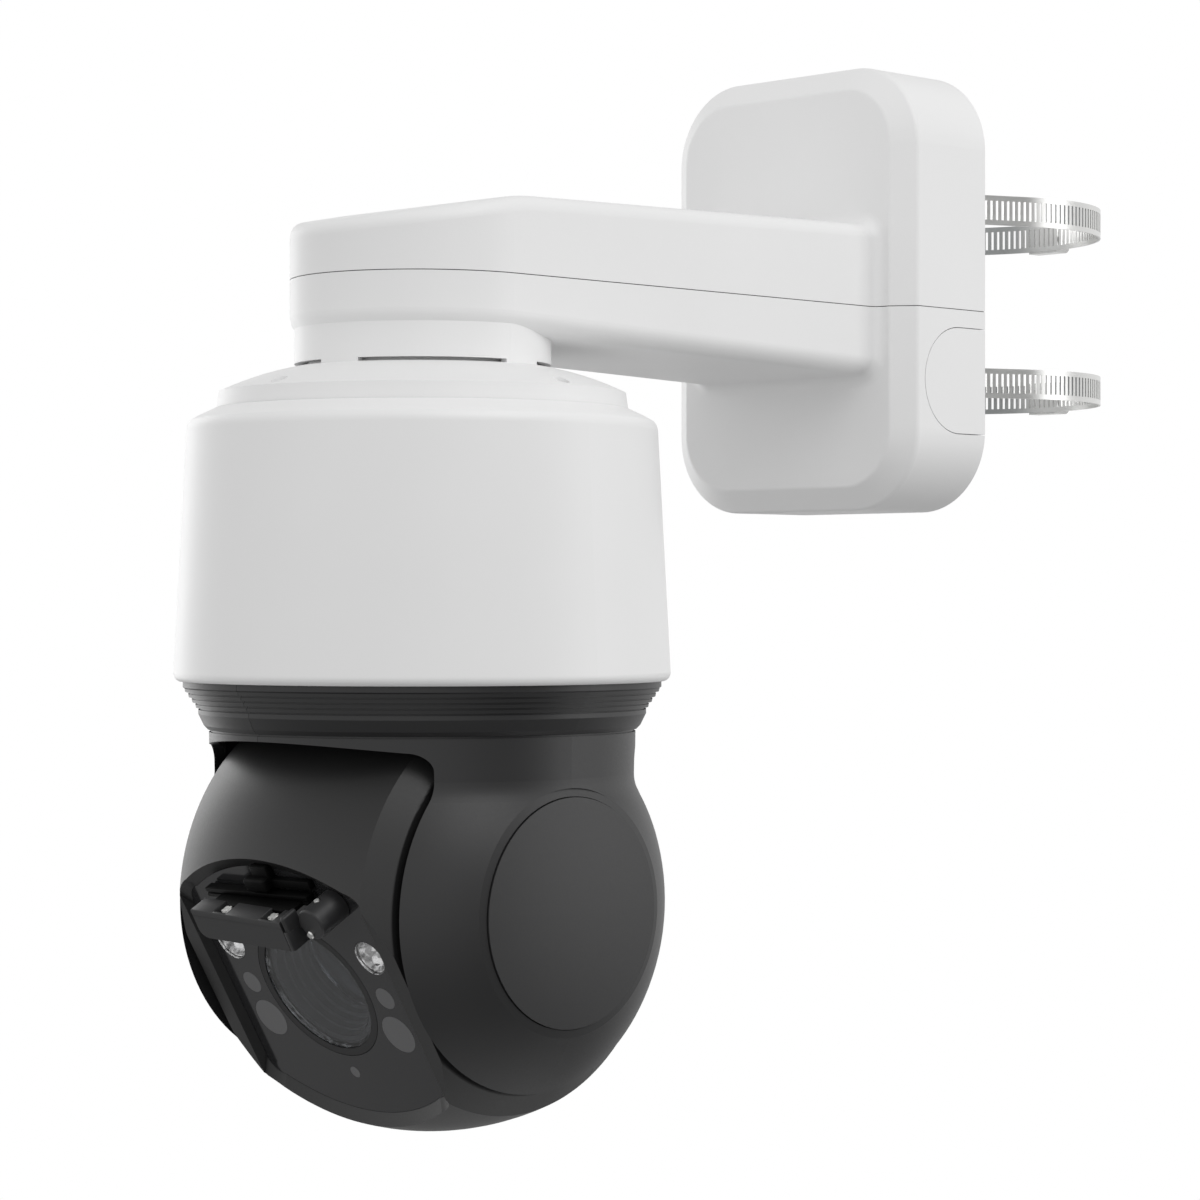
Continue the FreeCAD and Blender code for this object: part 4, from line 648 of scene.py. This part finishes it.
bm = bmesh.new()
bar = block(bm, (BAR_X[0], BAR_D[0], BAR_U[0]), (BAR_X[1], BAR_D[1], BAR_U[1] - POCKET_H + JOIN))
low_left = [e for e in edges_of(bar)
            if all(v.co.x < (BAR_X[0] + NEAR_MM) * MM and v.co.z < (BAR_U[0] + NEAR_MM) * MM for v in e.verts)]
soften(bm, low_left, LOW_ROUND, 6)
spans = [BAR_X[0], SCREW_X[0] - POCKET_W / 2, SCREW_X[0] + POCKET_W / 2, SCREW_X[1] - POCKET_W / 2,
         SCREW_X[1] + POCKET_W / 2, BAR_X[1]]
for i, (start, end) in enumerate(zip(spans, spans[1:])):
    back = BAR_D[0] if i % 2 == 0 else BAR_D[1] - POCKET_LIP
    cap = block(bm, (start, back, BAR_U[1] - POCKET_H), (end, BAR_D[1], BAR_U[1]))
    top = [e for e in edges_of(cap) if all(v.co.z > (BAR_U[1] - NEAR_MM) * MM for v in e.verts)]
    soften(bm, top, TOP_ROUND)
print("bar", len(bm.faces), "faces")

# %% [markdown]
# ## Ends of the wiper arm
# The bar ends in a cheek that turns up like a hook on the hub's side and in a small knob on the other, and a
# strap ties it to the hub. They could be separate objects, but on the real arm they are one casting, so they
# join the same mesh. The bar leans a little, as it hangs in its parked place, and the strap doesn't.

# %% Cheek, hook, knob and strap
# low and high corner of each: across, out, up
CHEEK = ((BAR_X[1] - JOIN, BAR_D[0] - 1.5, BAR_U[0]), (BAR_X[1] + 2.6, BAR_D[1], BAR_U[1] - 4.6))
HOOK = ((BAR_X[1] + JOIN, BAR_D[0] + 0.4, BAR_U[1] - 6), (BAR_X[1] + 2.8, BAR_D[1] - 0.6, BAR_U[1] + 2.2))
KNOB = ((BAR_X[0] - 2.8, BAR_D[0] + 1.0, 45.0), (BAR_X[0] + 0.4, BAR_D[0] + 5.5, 51.5))
STRAP = ((BAR_X[1] + 1.0, BAR_D[0] + 0.2, 45.5), (36.6, BAR_D[0] + 2.4, 48.9))
BAR_LEAN = math.radians(2.5)
LEAN_U = 47
rounded_block(bm, CHEEK, 0.7)
rounded_block(bm, HOOK, 1.1, 4)
rounded_block(bm, KNOB, 1.3, 4)
bmesh.ops.rotate(bm, verts=bm.verts, cent=(0, 0, LEAN_U * MM), matrix=Matrix.Rotation(BAR_LEAN, 4, (0, 1, 0)))
rounded_block(bm, STRAP, 0.6)
arm = finish_piece("wiper_arm_casting", bm, FINISH["wiper_metal"], "wiper", HEAD)
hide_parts("wiper_arm")
print(arm.name, len(arm.data.polygons), "faces")

# %% [markdown]
# ## Screws in the pockets
# The pocket screws are pan heads with a cross recess. The cross could be cut out, but four low studs on a plain
# head leave it standing between them, which shows better in soft light than a cut slot. A small set screw in
# the hub belongs to the same piece.

# %% Cross-head screws
SCREW_R = 2.9
SCREW_TAPER = 0.5
SCREW_H = 1.2
SCREW_SEAT = 2.0
STUD_R = (1.25, 1.15)
STUD_H = 0.4
STUD_OUT = 1.3
STUD_LIFT = 0.75
SET_SCREW = (42.0, 81.0, 55.4)
SET_SCREW_R = (1.6, 1.2)
SET_SCREW_H = 2.4
screw_d = (BAR_D[0] + BAR_D[1] - POCKET_LIP) / 2


def short_cone(bm, segments, radii, height):
    """Add a short upright cone, wider below, and give its vertices."""
    return bmesh.ops.create_cone(bm, cap_ends=True, segments=segments, radius1=radii[0] * MM,
                                 radius2=radii[1] * MM, depth=height * MM)["verts"]


bm = bmesh.new()
for x in SCREW_X:
    made = short_cone(bm, 32, (SCREW_R, SCREW_R - SCREW_TAPER), SCREW_H)
    for quarter in range(4):
        low = short_cone(bm, 12, STUD_R, STUD_H)
        way = math.radians(45 + 90 * quarter)
        bmesh.ops.translate(bm, verts=low, vec=(STUD_OUT * math.cos(way) * MM, STUD_OUT * math.sin(way) * MM,
                                                STUD_LIFT * MM))
        made += low
    lift = BAR_U[1] - SCREW_SEAT - x * math.sin(BAR_LEAN)
    bmesh.ops.translate(bm, verts=made, vec=(x * MM, -screw_d * MM, lift * MM))
made = short_cone(bm, 24, SET_SCREW_R, SET_SCREW_H)
bmesh.ops.translate(bm, verts=made, vec=(SET_SCREW[0] * MM, -SET_SCREW[1] * MM, SET_SCREW[2] * MM))
screws = finish_piece("wiper_cross_screws", bm, FINISH["tumbled_screw"], "wiper", HEAD)
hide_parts("wiper_screws")
print(screws.name, len(screws.data.polygons), "faces")

# %% [markdown]
# ## Blade holder
# The black rail between the bar and the window holds the rubber lip, with a groove along its face. The groove
# could be inset into one block, but three bars, with the middle one set back, also round the groove's edges.

# %% Rail with a groove
RAIL_X = (-38.0, 31.0)
RAIL_U = (50.5, 55.0)
RAIL_D = (73.5, 78.0)
GROOVE = 0.8
# lower end, upper end and front of each bar
RAIL_BARS = ((RAIL_U[0], 52.2, RAIL_D[1]), (51.8, 53.4, RAIL_D[1] - GROOVE), (53.0, RAIL_U[1], RAIL_D[1]))
STEM = ((BAR_X[0] + 2, RAIL_D[1] - 0.5, RAIL_U[0]), (BAR_X[1] - 2, BAR_D[0] + 0.5, 52.5))
bm = bmesh.new()
for low, high, front in RAIL_BARS:
    rounded_block(bm, ((RAIL_X[0], RAIL_D[0], low), (RAIL_X[1], front, high)), 0.4)
rounded_block(bm, STEM, 0.3)
# the rail's near-black colour is partly its own black and partly painted shade from under the brow
rail = finish_piece("wiper_rail_grooved", bm, FINISH["wiper_plastic"], "wiper", HEAD)
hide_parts("wiper_blade_holder")
print(rail.name, len(rail.data.polygons), "faces")

# %% [markdown]
# ## Parking stop and shade ledge
# Under the brow a black housing shields the wiper's parked blade: a rounded nose and a root behind it that goes
# up under the brow. A ledge runs from it towards the hub. The ledge is painted shade: a near-black piece set
# where the recess under the brow lies in shadow. It could be one extruded outline, but each of the three bodies
# has its own rounding, so three blocks are simpler. All stay inside the window's recess.

# %% Shade ledge, nose and root
SHADE_LEDGE = ((2.0, 72.3, 56.6), (33.0, 75.4, 61.0))
NOSE = ((-6.0, 72.5, 56.2), (8.0, 79.5, 62.5))
ROOT = ((-2.0, 72.3, 60.0), (9.0, 76.4, 67.5))
bm = bmesh.new()
# painted shade: a near-black ledge where the recess under the brow is in shadow
rounded_block(bm, SHADE_LEDGE, 0.5)
rounded_block(bm, NOSE, 1.2, 4)
rounded_block(bm, ROOT, 0.8)
# the whole piece is near black: nose and root for the park stop, the ledge as painted shade
park = finish_piece("wiper_park_stop_and_shade_ledge", bm, FINISH["wiper_plastic"], "head", HEAD)
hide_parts("wiper_park_stop")
print(park.name, len(park.data.polygons), "faces")

# %% [markdown]
# ## Shaft end of the hub
# A bright shaft end shows at the lower edge of the hub. A plain cylinder could stand for it, but a turned pin
# has a chamfer that catches the light, so its profile is spun.

# %% Shaft end
HUB_END = 89.0
PIN_AT = (40.0, 44.4)
PIN = ((0.001, HUB_END + 1.3), (1.4, HUB_END + 1.3), (1.9, HUB_END + 0.8), (1.9, HUB_END - 0.5),
       (0.001, HUB_END - 0.5))
bm = bmesh.new()
lathe(bm, PIN, 24, PIN_AT)
tip = finish_piece("wiper_shaft_end", bm, FINISH["stainless"], "wiper", HEAD)
print(tip.name, len(tip.data.polygons), "faces")

# %% Finish
low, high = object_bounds()
print("visual box", [round(v, 3) for v in low], [round(v, 3) for v in high])
